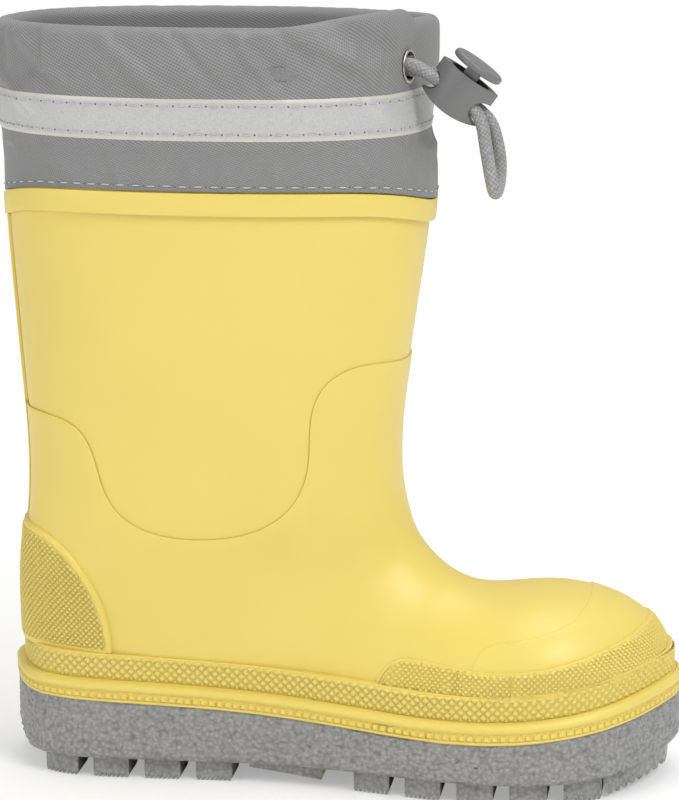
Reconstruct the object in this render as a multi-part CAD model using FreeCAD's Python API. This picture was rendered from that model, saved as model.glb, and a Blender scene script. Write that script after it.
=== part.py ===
import FreeCAD, Part
import math
import os

# Child's rubber rain boot with a fabric cuff, drawcord and cord lock.
# Units are millimetres. +X runs from heel to toe, +Z is up, -Y is the outer side of the foot.
# The origin is on the ground, under the middle of the boot's box.

V = FreeCAD.Vector
Y_AXIS = V(0, 1, 0)

# ---- driving dimensions: overall ----
LENGTH = 203.8           # back of the cuff to the tip of the toe
SOLE_WIDTH = 77.4        # sole across the ball of the foot
SHAFT_WIDTH = 84.0       # rubber shaft, side to side
SHAFT_HEIGHT = 173.5     # ground to the top of the collar band
CUFF_HEIGHT = 52.5       # fabric cuff above the collar band

# ---- driving dimensions: rubber ----
WALL = 2.0               # rubber upper
LINING = 0.8             # textile lining
INSOLE = 3.0             # footbed
OVERLAY = 0.6            # ankle overlay on the upper
CAP = 1.0                # toe cap, from the upper's face
PATCH = 1.6              # heel counter and toe bumper, from the upper's face
STRIP = 1.1              # back strip
STRIP_HALF = 10.0        # back strip, half its width
COLLAR = 1.7             # collar band, stands proud
COLLAR_DEPTH = 6.5       # collar band, top to bottom
COLLAR_RISE = 5.6        # collar band and the cuff's hem higher at the sides than at front and back
TUCK = 10.5              # upper's edge behind the cuff
FOXING_INSET = 2.0       # foxing band's face inside the sole's outline
FOXING_TOP = 14.0        # foxing band's top above the feather line
WELT_TOP = 6.0           # welt's top above the feather line
WELT_LIP = 0.4           # welt outside the sole's outline
WELT_STEP = 3.72         # top of the welt's lip above the feather line
BEAD_INSET = 0.5         # welt's upper bead inside the sole's outline
LAP = 1.0                # ankle overlay and toe cap behind the foxing band's top
PATCH_LAP = 0.5          # heel counter and toe bumper behind the foxing band's top
LUG_HEIGHT = 6.5
LUG_LENGTH = 10.8
LUG_PITCH = 15.6
LUG_WIDTH = 17.0         # side lugs, across the sole
LUG_INSET = 2.6          # lugs inside the sole's outline
HEEL_PAD_WIDTH = 14.0    # flat pads down the middle of the heel
BALL_PAD_WIDTH = 26.0    # flat pads down the middle of the ball
PAD_GAP = 2.0            # pads shorter than the lugs
TOE_LUG = 17.0           # toe lug along the sole
TOE_LUG_TILT = 11.0      # degrees that it rises with the toe
BREAST = 24.0            # slope in front of the heel, along the sole
TEETH = 8                # serrations along one lug
TOOTH_DEPTH = 1.1

# ---- driving dimensions: cuff ----
FABRIC = 1.0
TUNNEL = 4.4             # clear width of the drawcord tunnel
TUNNEL_FLOOR = 29.5      # tunnel's stitch line above the collar band
TAPE_LOW = 20.5          # reflective tape's lower edge above the collar band
TAPE_WIDTH = 12.0
TAPE = 0.35
THREAD = 0.45
GAP = 0.5                # collar band to the cuff's lower edge
EYELET_BELOW = 13.0      # eyelet's centre below the rim
TAPE_SEAM = 2.0          # stitch rows inside the tape's edges
HEM_SEAM = 2.0           # stitch row above the cuff's lower edge

# ---- driving dimensions: cord, eyelet and cord lock ----
CORD = 3.8               # cord diameter
EYELET_HOLE = 4.25       # radius
EYELET_FLANGE = 5.0      # radius
EYELET_SHEET = 0.5
WASHER = 6.0             # radius
FACE_OUT = 0.35          # the flange's seat in front of the flat panel's chord
SEAT_IN = -1.25          # the washer's seat inside the tunnel
LOCK_LENGTH = 19.6
LOCK_THICK = 13.0
LOCK_RIM = 5.7           # rim above the lock's centre
LOCK_FOOT = 6.6          # bottom below the lock's centre
LOCK_WALL = 0.9
LOCK_BULGE = 1.5         # rise of the lock's bottom from its middle to its ends
LOCK_END = 3.2           # solid part of each pointed end
LOCK_TIP = 1.2           # radius of its upright tips
LOCK_AT = V(36.1, -11.0, 205.8)
LOCK_TILT = 36.0         # degrees that the lock's length points down
CORD_DROP = 0.9          # cord slot below the lock's centre
CORD_GAP = 0.3           # clearance round the cords
MOUTH = 3.5              # radius of the arch that the loop hangs out of
MOUTH_AT = (8.9, -1.4)   # its centre, along the cords and up, from the lock's centre
ENTRY = 3.1              # radius of the arch that faces the eyelet
ENTRY_AT = (-9.1, -1.5)
BUTTON_RADIUS = 8.0
BUTTON_THICK = 2.2
BUTTON_TRAVEL = 1.5
BUTTON_GAP = 0.9         # rim to the pressed button
STEM_GAP = 0.7           # stem's sides to the lock's wall
PLUNGER_FOOT = 0.6       # stem below the cords
STEM = 4.6               # stem along the cord
SPRING_WIRE = 0.3
SPRING_COILS = 3
SPRING_RADIUS = 1.8
SPRING_SIDES = 8         # runs in one turn of the coil
SPRING_GAP = 0.1         # spring's ends to the lock and the plunger

# ---- sizes worked out from them; the outlines below are drawn for these three ----
KX = LENGTH / 203.8
KY = SOLE_WIDTH / 77.4
KS = SHAFT_WIDTH / 84.0
KZ = SHAFT_HEIGHT / 173.5
TOP = SHAFT_HEIGHT
RIM = TOP + CUFF_HEIGHT
UPPER_TOP = TOP + TUCK


def closed_curve(points):
    """A smooth closed curve through points, with evenly numbered knots so that sections loft cleanly."""
    curve = Part.BSplineCurve()
    knots = [float(index) for index in range(len(points) + 1)]
    curve.interpolate(Points=points, PeriodicFlag=True, Parameters=knots)
    return curve


def wire_of(curve):
    return Part.Wire([curve.toShape()])


def offset_curve(points, offset):
    """The closed curve through points, moved outward by offset in its own flat plane."""
    curve = closed_curve(points)
    first, last = curve.FirstParameter, curve.LastParameter
    count = 3 * len(points)
    moved = []
    for step in range(count):
        at = first + (last - first) * step / count
        tangent = curve.tangent(at)[0]
        moved.append(curve.value(at) + V(tangent.y, -tangent.x, 0) * offset)
    return closed_curve(moved)


def slab(low, high):
    """Everything between two heights."""
    return Part.makeBox(600, 400, high - low, V(-300, -200, low))


def rise(y):
    """How much higher the collar line is at y than at the middle line."""
    share = min(1.0, abs(y) / (SHAFT_WIDTH / 2))
    return COLLAR_RISE * (1 - math.cos(math.pi * share)) / 2


def above(height):
    """Everything above a level that follows the collar line."""
    edge = SHAFT_WIDTH / 2
    at = [-3 * edge, -1.5 * edge, -edge, -0.75 * edge, -0.5 * edge, -0.25 * edge]
    at = at + [0] + [-y for y in reversed(at)]
    curve = Part.BSplineCurve()
    curve.interpolate([V(-300, y, height + rise(y)) for y in at])
    ends = [V(-300, at[-1], height + 200), V(-300, at[0], height + 200)]
    corners = [curve.value(curve.LastParameter)] + ends + [curve.value(curve.FirstParameter)]
    edges = [curve.toShape()] + [Part.LineSegment(a, b).toShape() for a, b in zip(corners, corners[1:])]
    return Part.Face(Part.Wire(edges)).extrude(V(600, 0, 0))


def across(points, width=260):
    """A solid whose side view is the closed outline through points, given as (x, z)."""
    corners = [V(x, -width / 2, z) for x, z in points]
    face = Part.Face(Part.makePolygon(corners + corners[:1]))
    return face.extrude(V(0, width, 0))


def across_curve(points, floor, width=260):
    """A solid under the smooth curve through points (x, z), down to floor."""
    curve = Part.BSplineCurve()
    curve.interpolate([V(x, -width / 2, z) for x, z in points])
    start, end = V(points[0][0], -width / 2, floor), V(points[-1][0], -width / 2, floor)
    edges = [curve.toShape(),
             Part.LineSegment(curve.value(curve.LastParameter), end).toShape(),
             Part.LineSegment(end, start).toShape(),
             Part.LineSegment(start, curve.value(curve.FirstParameter)).toShape()]
    return Part.Face(Part.Wire(edges)).extrude(V(0, width, 0))


# ---- sole outline, seen from above, and the feather line where upper and sole meet ----
SOLE_OUTLINE = [V(x * KX, y * KY, 0) for x, y in (
    (-99.4, 0), (-91, -20.3), (-70, -28.8), (-22, -28), (18, -34.5), (48, -39.3), (78, -32.2),
    (96.4, -11), (101.9, 6), (95.6, 23), (73, 36), (42, 38.1), (2, 30.5), (-32, 27.2), (-70, 28.8),
    (-91, 20.3))]
FEATHER = [(-125, 25), (-70, 24.3), (-25, 22.2), (15, 19.3), (42, 18.4), (72, 20.5), (102, 26),
           (125, 31)]


def prism(offset, low, high):
    """The sole's outline, moved out by offset, as an upright solid."""
    wire = wire_of(offset_curve(SOLE_OUTLINE, offset))
    wire.translate(V(0, 0, low))
    return Part.Face(wire).extrude(V(0, 0, high - low))


def under(lift):
    """Everything below the feather line raised by lift."""
    return across_curve([(x * KX, z + lift) for x, z in FEATHER], -20)


# ---- upper: sections that turn from level across the shaft to upright across the toe ----
# front x, front z, back x, back z, half width outside, half width inside,
# squareness at the front, squareness at the back, centre's shift in y, share of wall that goes forward
STATIONS = (
    (27.4, 190, -98.9, 190, 42.0, 42.0, 2.3, 2.3, 0, 0),
    (26.0, 165, -98.4, 165, 42.0, 42.0, 2.3, 2.3, 0, 0),
    (22.9, 143, -96.8, 143, 41.0, 41.0, 2.3, 2.3, 0, 0),
    (19.9, 122, -94.7, 118, 38.8, 38.4, 2.3, 2.4, 0, 0),
    (18.0, 106, -93.3, 98, 36.4, 35.8, 2.4, 2.5, 0, 0),
    (17.7, 95, -93.6, 80, 34.2, 33.6, 2.4, 2.7, 0, 0),
    (18.4, 86.5, -95.2, 62, 31.8, 31.2, 2.4, 2.9, 0, 0),
    (20.2, 78.5, -95.7, 42, 28.0, 27.4, 2.4, 2.7, 0, 0),
    (23.0, 71.5, -90.6, 19, 25.6, 25.0, 2.3, 2.6, 0, 0),
    (28.6, 64.3, -64.0, 15, 24.4, 23.6, 2.3, 2.8, 0, 0),
    (37.5, 58.2, -27.0, 14, 25.6, 24.8, 2.2, 3.0, 0, 0),
    (48.5, 56.0, 12.0, 13, 31.6, 30.4, 2.2, 3.6, 0, 0),
    (61.0, 56.8, 42.0, 12, 35.6, 34.6, 2.2, 4.0, 0, 0),
    (74.0, 56.0, 66.0, 12, 32.6, 32.4, 2.2, 4.0, 0.4, 0.1),
    (85.0, 52.6, 81.0, 13, 25.2, 25.6, 2.2, 4.0, 1.6, 0.3),
    (92.3, 47.6, 90.6, 15, 16.6, 16.6, 2.2, 4.0, 3.4, 0.7),
    (96.2, 41.0, 95.6, 19, 8.6, 8.6, 2.2, 3.4, 4.8, 1.0),
)
SECTION_POINTS = 20


def signed_power(value, power):
    return math.copysign(abs(value) ** power, value)


def section(station, offset):
    """One closed section of the upper, moved outward by offset."""
    fx, fz, bx, bz, outer, inner, front_n, back_n, shift, lead = station
    high = fz > 100
    scale = KS if high else KY + (KS - KY) * max(0.0, min(1.0, (fz - 60) / 40))
    front = V(fx * KX + lead * offset, 0, fz * KZ)
    back = V(bx * KX + lead * offset, 0, bz * KZ if bz > 30 else bz)
    along = (front - back).normalize()
    reach = (1 - lead) * offset
    front, back = front + along * reach, back - along * reach
    middle, half = (front + back) * 0.5, (front - back).Length / 2
    points = []
    for step in range(SECTION_POINTS):
        turn = 2 * math.pi * step / SECTION_POINTS
        c, s = math.cos(turn), math.sin(turn)
        n = front_n if c > 0 else back_n
        width = (outer * scale if s < 0 else inner * scale) + offset
        point = middle + along * (half * signed_power(c, 2 / n))
        points.append(point + V(0, shift + width * signed_power(s, 2 / n), 0))
    return closed_curve(points)


def skinned(curves):
    """A solid through closed curves that all have the same knots, with a flat face at each end."""
    rows = [curve.getPoles() for curve in curves]
    at = [0.0]
    for before, after in zip(rows, rows[1:]):
        steps = [(b - a).Length for a, b in zip(before, after)]
        at.append(at[-1] + sum(steps) / len(steps))
    columns = []
    for index in range(len(rows[0])):
        column = Part.BSplineCurve()
        column.interpolate(Points=[row[index] for row in rows], Parameters=at)
        columns.append(column)
    first, guide = curves[0], columns[0]
    surface = Part.BSplineSurface()
    surface.buildFromPolesMultsKnots([column.getPoles() for column in columns],
                                     first.getMultiplicities(), guide.getMultiplicities(),
                                     first.getKnots(), guide.getKnots(), True, False, first.Degree, guide.Degree)
    side = surface.toShape()
    ends = [Part.Face(Part.Wire([edge])) for edge in side.Edges if edge.Closed]
    loose = Part.Compound([side] + ends)
    loose.sewShape()
    return Part.Solid(loose.Shells[0])


def last(offset):
    """The solid form of the upper, moved outward by offset."""
    return skinned([section(station, offset) for station in STATIONS])


FORM = {lift: last(lift) for lift in (-WALL - LINING, -WALL, 0, OVERLAY, CAP, PATCH, STRIP, COLLAR)}
BELOW = slab(-20, UPPER_TOP)


def skin(low, high):
    """The layer between two moved forms of the upper."""
    return FORM[high].cut(FORM[low])


# ---- outlines of the overlays in side view ----
ANKLE_LINE = ((-140, 112), (-95, 111), (-82, 110.5), (-74, 108), (-68.8, 100.5), (-65.8, 90), (-60, 81.5),
              (-49, 76.5), (-35, 75.5), (-21, 78.2), (-11, 85), (-6, 94.5), (-4.6, 105), (-3.6, 115),
              (0.6, 123), (8, 127), (18, 127), (60, 127))
HEEL_LINE = ((-140, 76.5), (-96, 76), (-88, 75), (-80.5, 71.5), (-74.5, 65.5), (-69.5, 57), (-66.3, 46),
             (-65.5, 34), (-65.3, 20))
CAP_LINE = ((43.2, 15), (43.2, 38), (44.2, 42.6), (47.6, 46), (57, 48), (66.5, 50.2), (72.5, 52.6),
            (75.8, 56), (77, 62), (77.6, 80))
BUMPER_LINE = ((13, 15), (14.6, 34), (19.5, 39.8), (30, 40.6), (46, 39.4), (62, 40.4), (77, 43.4),
               (88, 46.6), (97, 50), (120, 60))


def side_region(line, corners):
    """The side-view region bounded by the smooth line and the straight corners."""
    points = [V(x * KX, -130, z) for x, z in line]
    curve = Part.BSplineCurve()
    curve.interpolate(points)
    straight = [points[-1]] + [V(x, -130, z) for x, z in corners] + [points[0]]
    edges = [curve.toShape()]
    edges += [Part.LineSegment(a, b).toShape() for a, b in zip(straight, straight[1:])]
    return Part.Face(Part.Wire(edges)).extrude(V(0, 260, 0))


# ---- rubber parts ----
def make_upper():
    body = FORM[0].common(BELOW).cut(under(0))
    return body.cut(FORM[-WALL].cut(under(WALL)))


def make_lining():
    body = FORM[-WALL].common(BELOW).cut(under(WALL))
    return body.cut(FORM[-WALL - LINING].cut(under(WALL + LINING)))


def make_insole():
    body = FORM[-WALL - LINING].cut(under(WALL + LINING))
    return body.common(under(WALL + LINING + INSOLE))


def make_ankle_overlay():
    region = side_region(ANKLE_LINE, ((140, 0), (-140, 0)))
    return skin(0, OVERLAY).common(region).cut(under(FOXING_TOP - LAP))


def make_toe_cap():
    region = side_region(CAP_LINE, ((140, 80), (140, 15)))
    return skin(OVERLAY, CAP).common(region).cut(under(FOXING_TOP - LAP))


def make_toe_bumper(cap):
    region = side_region(BUMPER_LINE, ((140, 0), (13, 0)))
    return skin(OVERLAY, PATCH).common(region).cut(under(FOXING_TOP - PATCH_LAP)).cut(cap)


def make_heel_counter():
    region = side_region(HEEL_LINE, ((-140, 20),))
    return skin(OVERLAY, PATCH).common(region).cut(under(FOXING_TOP - PATCH_LAP))


def make_back_strip(ankle, counter):
    keep = Part.makeBox(100, 2 * STRIP_HALF, TOP - 60, V(-140, -STRIP_HALF, 60))
    return skin(0, STRIP).common(keep).cut(above(TOP - COLLAR_DEPTH)).cut(ankle).cut(counter)


def make_collar_band():
    return skin(0, COLLAR).common(above(TOP - COLLAR_DEPTH)).cut(above(TOP))


def make_foxing_band(others):
    band = prism(-FOXING_INSET, 5, 60).common(under(FOXING_TOP)).cut(under(WELT_TOP))
    band = band.cut(FORM[0])
    for other in others:
        band = band.cut(other)
    return band


def make_welt():
    rib = prism(WELT_LIP, 5, 60).common(under(WELT_STEP)).cut(under(0))
    bead = prism(-BEAD_INSET, 5, 60).common(under(WELT_TOP)).cut(under(WELT_STEP))
    return rib.fuse(bead).cut(FORM[0])


# ---- outsole: slab, serrated side lugs, flat centre pads and the heel breast ----
LUG_STARTS = [(-87.0 + LUG_PITCH * i) * KX for i in range(4)] + [(8.0 + LUG_PITCH * i) * KX for i in range(5)]
HEEL_PADS = [(-79.2 + LUG_PITCH * i) * KX for i in range(3)]
BALL_PADS = [(15.8 + LUG_PITCH * i) * KX for i in range(4)]


def serrated(start, length, low_y, width):
    """A lug whose underside is cut into teeth across the sole."""
    pitch = length / TEETH
    outline = [(start, LUG_HEIGHT + 1)]
    for tooth in range(TEETH):
        left = start + tooth * pitch
        outline += [(left, TOOTH_DEPTH), (left + 0.3 * pitch, 0), (left + 0.7 * pitch, 0)]
    outline += [(start + length, TOOTH_DEPTH), (start + length, LUG_HEIGHT + 1)]
    corners = [V(x, low_y, z) for x, z in outline]
    return Part.Face(Part.makePolygon(corners + corners[:1])).extrude(V(0, width, 0))


def pad(start, width):
    """A flat tread pad on the sole's middle line."""
    return Part.makeBox(LUG_LENGTH - PAD_GAP, width, LUG_HEIGHT + 1, V(start, -width / 2, 0))


def edge_y(x, side):
    """Where the sole's outline crosses x, on the outer (-1) or inner (+1) side."""
    curve = offset_curve(SOLE_OUTLINE, 0)
    line = Part.LineSegment(V(x, 0, 0), V(x, side * 150, 0))
    hits = curve.intersect(line)
    return hits[0].Y


def make_outsole():
    body = prism(0, 0, 60).common(under(0))
    toe = [(70 * KX, LUG_HEIGHT), (88 * KX, LUG_HEIGHT + 1.2), (110 * KX, LUG_HEIGHT + 7)]
    heel = [(-110 * KX, LUG_HEIGHT + 13), (-93 * KX, LUG_HEIGHT)]
    body = body.cut(across([(-130, -5)] + heel + toe + [(130, -5)]))
    inside = prism(-LUG_INSET, -1, 30)
    lugs = []
    for start in LUG_STARTS:
        for side in (-1, 1):
            edge = edge_y(start + LUG_LENGTH / 2, side)
            low = edge - 1 if side < 0 else edge - LUG_WIDTH + 1
            lugs.append(serrated(start, LUG_LENGTH, low, LUG_WIDTH))
    for start in HEEL_PADS:
        lugs.append(pad(start, HEEL_PAD_WIDTH * KY))
    for start in BALL_PADS:
        lugs.append(pad(start, BALL_PAD_WIDTH * KY))
    breast = [(-BREAST * KX, LUG_HEIGHT + 1), (-BREAST * KX, 4.6), (-2 * KX, 2.2), (0, LUG_HEIGHT + 1)]
    lugs.append(across(breast, 120))
    toe_lug = serrated(0, TOE_LUG, -30 * KY, 66 * KY)
    toe_lug.rotate(V(0, 0, 0), Y_AXIS, -TOE_LUG_TILT)
    toe_lug.translate(V(82.5 * KX, 0, 0.6))
    lugs.append(toe_lug)
    tread = lugs[0].multiFuse(lugs[1:]).common(inside)
    return body.fuse(tread).removeSplitter()


# ---- cuff: outline from the oval shaft to the rim, whose front is a flat panel ----
RIM_OUTLINE = ((-101.6, 0), (-94.5, -23.5), (-71, -40), (-36, -44.4), (-6, -41), (11, -30.5), (18.9, -19.2),
               (22.5, -5), (27.0, 11.5), (21.5, 26), (-6, 41), (-36, 44.4), (-71, 40), (-94.5, 23.5))
HEM_X = (-99.6, -93.6, -71, -36, -6, 11, 22.5, 28.4)
HEM_MIDDLE, HEM_LONG, HEM_HALF, HEM_POWER = -35.6, 64.0, 43.1, 2.3


def hem_half_width(x):
    share = min(1.0, abs((x - HEM_MIDDLE) / HEM_LONG))
    return HEM_HALF * (1 - share ** HEM_POWER) ** (1 / HEM_POWER)


HEM_OUTLINE = ([(x, -hem_half_width(x)) for x in HEM_X]
               + [(x, hem_half_width(x)) for x in reversed(HEM_X[1:-1])])
PANEL_LEVELS = ((0, 0.0), (11, 0.0), (20.5, 0.42), (32.5, 0.9), (40, 1.0), (52.5, 1.0))


def cuff_outline(blend, height, offset):
    points = [V((a[0] * (1 - blend) + b[0] * blend) * KX, (a[1] * (1 - blend) + b[1] * blend) * KS, 0)
              for a, b in zip(HEM_OUTLINE, RIM_OUTLINE)]
    curve = offset_curve(points, offset)
    curve.translate(V(0, 0, height))
    return curve


def cuff_form(offset):
    """The cuff's outer form, moved outward by offset, a little longer than the cuff at both ends."""
    levels = [(-3, 0.0)] + list(PANEL_LEVELS) + [(PANEL_LEVELS[-1][0] + 3, 1.0)]
    stretch = CUFF_HEIGHT / PANEL_LEVELS[-1][0]
    return skinned([cuff_outline(b, TOP + h * stretch, offset) for h, b in levels])


CUFF = {lift: cuff_form(lift) for lift in
        (0, -FABRIC, -FABRIC - TUNNEL, -2 * FABRIC - TUNNEL, TAPE, TAPE + THREAD)}
FLOOR = TOP + TUNNEL_FLOOR
EYELET_HEIGHT = RIM - EYELET_BELOW


def cuff_ring(inner, outer, low, high):
    return CUFF[outer].cut(CUFF[inner]).common(slab(low, high))


# ---- eyelet frame: centre on the front panel and the direction that it faces ----
def panel_frame():
    a, b = RIM_OUTLINE[6], RIM_OUTLINE[7]
    start, end = V(a[0] * KX, a[1] * KS, 0), V(b[0] * KX, b[1] * KS, 0)
    along = (end - start).normalize()
    facing = V(along.y, -along.x, 0)
    return start + (end - start) * 0.58, facing


PANEL_POINT, PANEL_FACING = panel_frame()
EYELET_AT = V(PANEL_POINT.x, PANEL_POINT.y, EYELET_HEIGHT)


def disc(radius, low, high):
    """A cylinder about the eyelet's axis, from low to high along it."""
    return Part.makeCylinder(radius, high - low, EYELET_AT + PANEL_FACING * low, PANEL_FACING)


BARREL = EYELET_HOLE + EYELET_SHEET


def make_cuff():
    outer = cuff_ring(-FABRIC, 0, TOP, RIM).common(above(TOP + GAP))
    tunnel = cuff_ring(-2 * FABRIC - TUNNEL, 0, FLOOR, RIM)
    tunnel = tunnel.cut(cuff_ring(-FABRIC - TUNNEL, -FABRIC, FLOOR + FABRIC, RIM - FABRIC))
    body = outer.fuse(tunnel).cut(FORM[0].common(slab(0, UPPER_TOP)))
    return body.cut(disc(EYELET_FLANGE + 0.2, FACE_OUT, 5)).cut(disc(BARREL, -3, 5)).removeSplitter()


def make_hem_thread():
    seam = TOP + GAP + HEM_SEAM
    ring = cuff_ring(0, TAPE, TOP, TOP + TAPE_LOW)
    return ring.common(above(seam - THREAD / 2)).cut(above(seam + THREAD / 2))


def make_eyelet():
    flange = disc(EYELET_FLANGE, FACE_OUT, FACE_OUT + EYELET_SHEET)
    barrel = disc(BARREL, SEAT_IN - EYELET_SHEET, FACE_OUT + EYELET_SHEET)
    rims = [edge for edge in flange.Edges if edge.Closed]
    flange = flange.makeFillet(EYELET_SHEET * 0.4, rims)
    return flange.fuse(barrel).cut(disc(EYELET_HOLE, -5, 5)).removeSplitter()


def make_eyelet_washer():
    return disc(WASHER, SEAT_IN - EYELET_SHEET, SEAT_IN).cut(disc(BARREL, -5, 5))


def make_tape():
    return cuff_ring(0, TAPE, TOP + TAPE_LOW, TOP + TAPE_LOW + TAPE_WIDTH)


def make_tape_thread(height):
    return cuff_ring(TAPE, TAPE + THREAD, height - THREAD / 2, height + THREAD / 2)


# ---- cord ----
def tube(points, diameter):
    """Straight runs joined by tangent arcs, each as large as its two runs allow."""
    edges, radii, start = [], [], points[0]
    for before, corner, after in zip(points, points[1:], points[2:]):
        into, out = corner - before, after - corner
        half_turn = into.getAngle(out) / 2
        back = 0.45 * min(into.Length, out.Length)
        radius = back / math.tan(half_turn)
        into.normalize()
        out.normalize()
        inward = (out - into).normalize()
        middle = corner + inward * (radius / math.cos(half_turn) - radius)
        first, second = corner - into * back, corner + out * back
        edges.append(Part.LineSegment(start, first).toShape())
        edges.append(Part.Arc(first, middle, second).toShape())
        radii.append(radius)
        start = second
    edges.append(Part.LineSegment(start, points[-1]).toShape())
    path = Part.Wire(edges)
    ring = Part.Circle(points[0], points[1] - points[0], diameter / 2).toShape()
    body = path.makePipeShell([Part.Wire([ring])], True, True)
    ideal = math.pi * diameter ** 2 / 4 * path.Length
    print("tube length %.1f, least radius %.1f, volume over section times length %.3f"
          % (path.Length, min(radii), body.Volume / ideal))
    print("radii", " ".join("%.1f" % radius for radius in radii))
    return body


CORD_ROUTE = [V(*p) for p in (
    (18.9, -12.0, 214.1), (22.9, -12.9, 213.7), (27.6, -12.9, 210.9), (34.3, -12.9, 205.9), (40.4, -12.9, 201.6),
    (43.0, -12.9, 197.0), (43.9, -13.2, 191.2), (45.0, -14.6, 185.8), (46.0, -15.4, 180.9), (46.5, -14.1, 177.7),
    (46.9, -10.9, 176.3), (47.3, -7.7, 177.7), (47.7, -6.4, 180.9), (47.8, -7.4, 186.0), (47.0, -8.6, 191.3),
    (45.4, -9.1, 196.9), (41.6, -9.1, 200.7), (34.3, -9.1, 205.9), (27.6, -9.1, 210.9), (23.6, -9.7, 211.8),
    (19.5, -8.9, 211.9))]


def make_drawcord_hem():
    """The cord's hidden part: once round the tunnel, open behind the eyelet."""
    side = (TUNNEL - CORD) / 2
    rings = [cuff_form(-FABRIC - side), cuff_form(-FABRIC - TUNNEL + side)]
    low = EYELET_HEIGHT - CORD / 2
    ring = rings[0].cut(rings[1]).common(slab(low, low + CORD))
    return ring.cut(disc(EYELET_FLANGE + 1.5, -12, 5))


# ---- cord lock, drawn about its own centre: X along the cords, Y across, Z towards the button ----
def placed(shape):
    shape = shape.copy()
    shape.rotate(V(0, 0, 0), Y_AXIS, LOCK_TILT)
    shape.translate(LOCK_AT)
    return shape


def lens(half_length, half_thick, low, high):
    """An upright solid with a pointed oval plan."""
    a, b = V(-half_length, 0, low), V(half_length, 0, low)
    arcs = [Part.Arc(a, V(0, -half_thick, low), b).toShape(), Part.Arc(b, V(0, half_thick, low), a).toShape()]
    body = Part.Face(Part.Wire(arcs)).extrude(V(0, 0, high - low))
    tips = [e for e in body.Edges if abs(abs(e.CenterOfMass.x) - half_length) < 0.01]
    return body.makeFillet(LOCK_TIP, tips)


CORD_HALF = CORD / 2 + CORD_GAP
WINDOW_HALF = CORD + CORD_GAP


def slot_bar(length, low, high):
    """A bar along the cords, wide enough for both of them, with round corners in section."""
    body = Part.makeBox(length, 2 * WINDOW_HALF, high - low, V(-length / 2, -WINDOW_HALF, low))
    along = [e for e in body.Edges if abs(e.Length - length) < 0.01]
    return body.makeFillet(CORD_HALF * 0.98, along)


FLOOR_IN = -LOCK_FOOT + LOCK_WALL
PLUNGER_LOW = -CORD_DROP - CORD_HALF - PLUNGER_FOOT


def make_lock_body():
    half, shoulder = LOCK_LENGTH / 2, -LOCK_FOOT + LOCK_BULGE
    body = lens(half, LOCK_THICK / 2, -LOCK_FOOT - 1, LOCK_RIM)
    a, b, c, d = [V(x, -LOCK_THICK, z) for x, z in
                  ((-half, shoulder), (half, shoulder), (half, LOCK_RIM), (-half, LOCK_RIM))]
    bottom = Part.Arc(a, V(0, -LOCK_THICK, -LOCK_FOOT), b)
    edges = [bottom.toShape()] + [Part.LineSegment(p, q).toShape() for p, q in ((b, c), (c, d), (d, a))]
    body = body.common(Part.Face(Part.Wire(edges)).extrude(V(0, 2 * LOCK_THICK, 0)))
    hollow = lens(half - LOCK_END, LOCK_THICK / 2 - LOCK_WALL, FLOOR_IN, LOCK_RIM + 1)
    slot = slot_bar(LOCK_LENGTH + 4, -CORD_DROP - CORD_HALF, -CORD_DROP + CORD_HALF)
    body = body.cut(hollow).cut(slot)
    for radius, (along, up) in ((MOUTH, MOUTH_AT), (ENTRY, ENTRY_AT)):
        body = body.cut(Part.makeCylinder(radius, 2 * LOCK_THICK, V(along, -LOCK_THICK, up), Y_AXIS))
    return placed(body)


def make_lock_button():
    low = LOCK_RIM + BUTTON_TRAVEL + BUTTON_GAP
    cap = Part.makeCylinder(BUTTON_RADIUS, BUTTON_THICK, V(0, 0, low))
    cap = cap.makeFillet(BUTTON_THICK * 0.42, [e for e in cap.Edges if e.Closed])
    stem_half = LOCK_THICK / 2 - LOCK_WALL - STEM_GAP
    stem = Part.makeBox(STEM, 2 * stem_half, low + BUTTON_THICK / 4 - PLUNGER_LOW,
                        V(-STEM / 2, -stem_half, PLUNGER_LOW))
    window = slot_bar(STEM + 2, -CORD_DROP - CORD_HALF, -CORD_DROP + CORD_HALF + BUTTON_TRAVEL)
    return placed(cap.fuse(stem.cut(window)).removeSplitter())


def make_lock_spring():
    low = FLOOR_IN + SPRING_WIRE / 2 + SPRING_GAP
    rise = PLUNGER_LOW - SPRING_WIRE / 2 - SPRING_GAP - low
    steps = SPRING_COILS * SPRING_SIDES
    turn = 2 * math.pi / SPRING_SIDES
    return placed(tube([V(SPRING_RADIUS * math.cos(turn * i), SPRING_RADIUS * math.sin(turn * i),
                          low + rise * i / steps) for i in range(steps + 1)], SPRING_WIRE))


def build():
    upper = make_upper()
    ankle = make_ankle_overlay()
    bumper_region = side_region(BUMPER_LINE, ((140, 0), (13, 0)))
    cap = make_toe_cap().cut(bumper_region)
    bumper = make_toe_bumper(cap)
    counter = make_heel_counter()
    return {
        "upper": upper,
        "lining": make_lining(),
        "insole": make_insole(),
        "ankle_overlay": ankle,
        "toe_cap": cap,
        "toe_bumper": bumper,
        "heel_counter": counter,
        "back_strip": make_back_strip(ankle, counter),
        "collar_band": make_collar_band(),
        "foxing_band": make_foxing_band([ankle, cap, bumper, counter]),
        "welt": make_welt(),
        "outsole": make_outsole(),
        "cuff": make_cuff(),
        "reflective_tape": make_tape(),
        "tape_upper_stitch": make_tape_thread(TOP + TAPE_LOW + TAPE_WIDTH - TAPE_SEAM),
        "tape_lower_stitch": make_tape_thread(TOP + TAPE_LOW + TAPE_SEAM),
        "cuff_hem_stitch": make_hem_thread(),
        "eyelet": make_eyelet(),
        "eyelet_washer": make_eyelet_washer(),
        "drawcord_hem": make_drawcord_hem(),
        "drawcord_loop": tube(CORD_ROUTE, CORD),
        "lock_body": make_lock_body(),
        "lock_button": make_lock_button(),
        "lock_spring": make_lock_spring(),
    }


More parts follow.
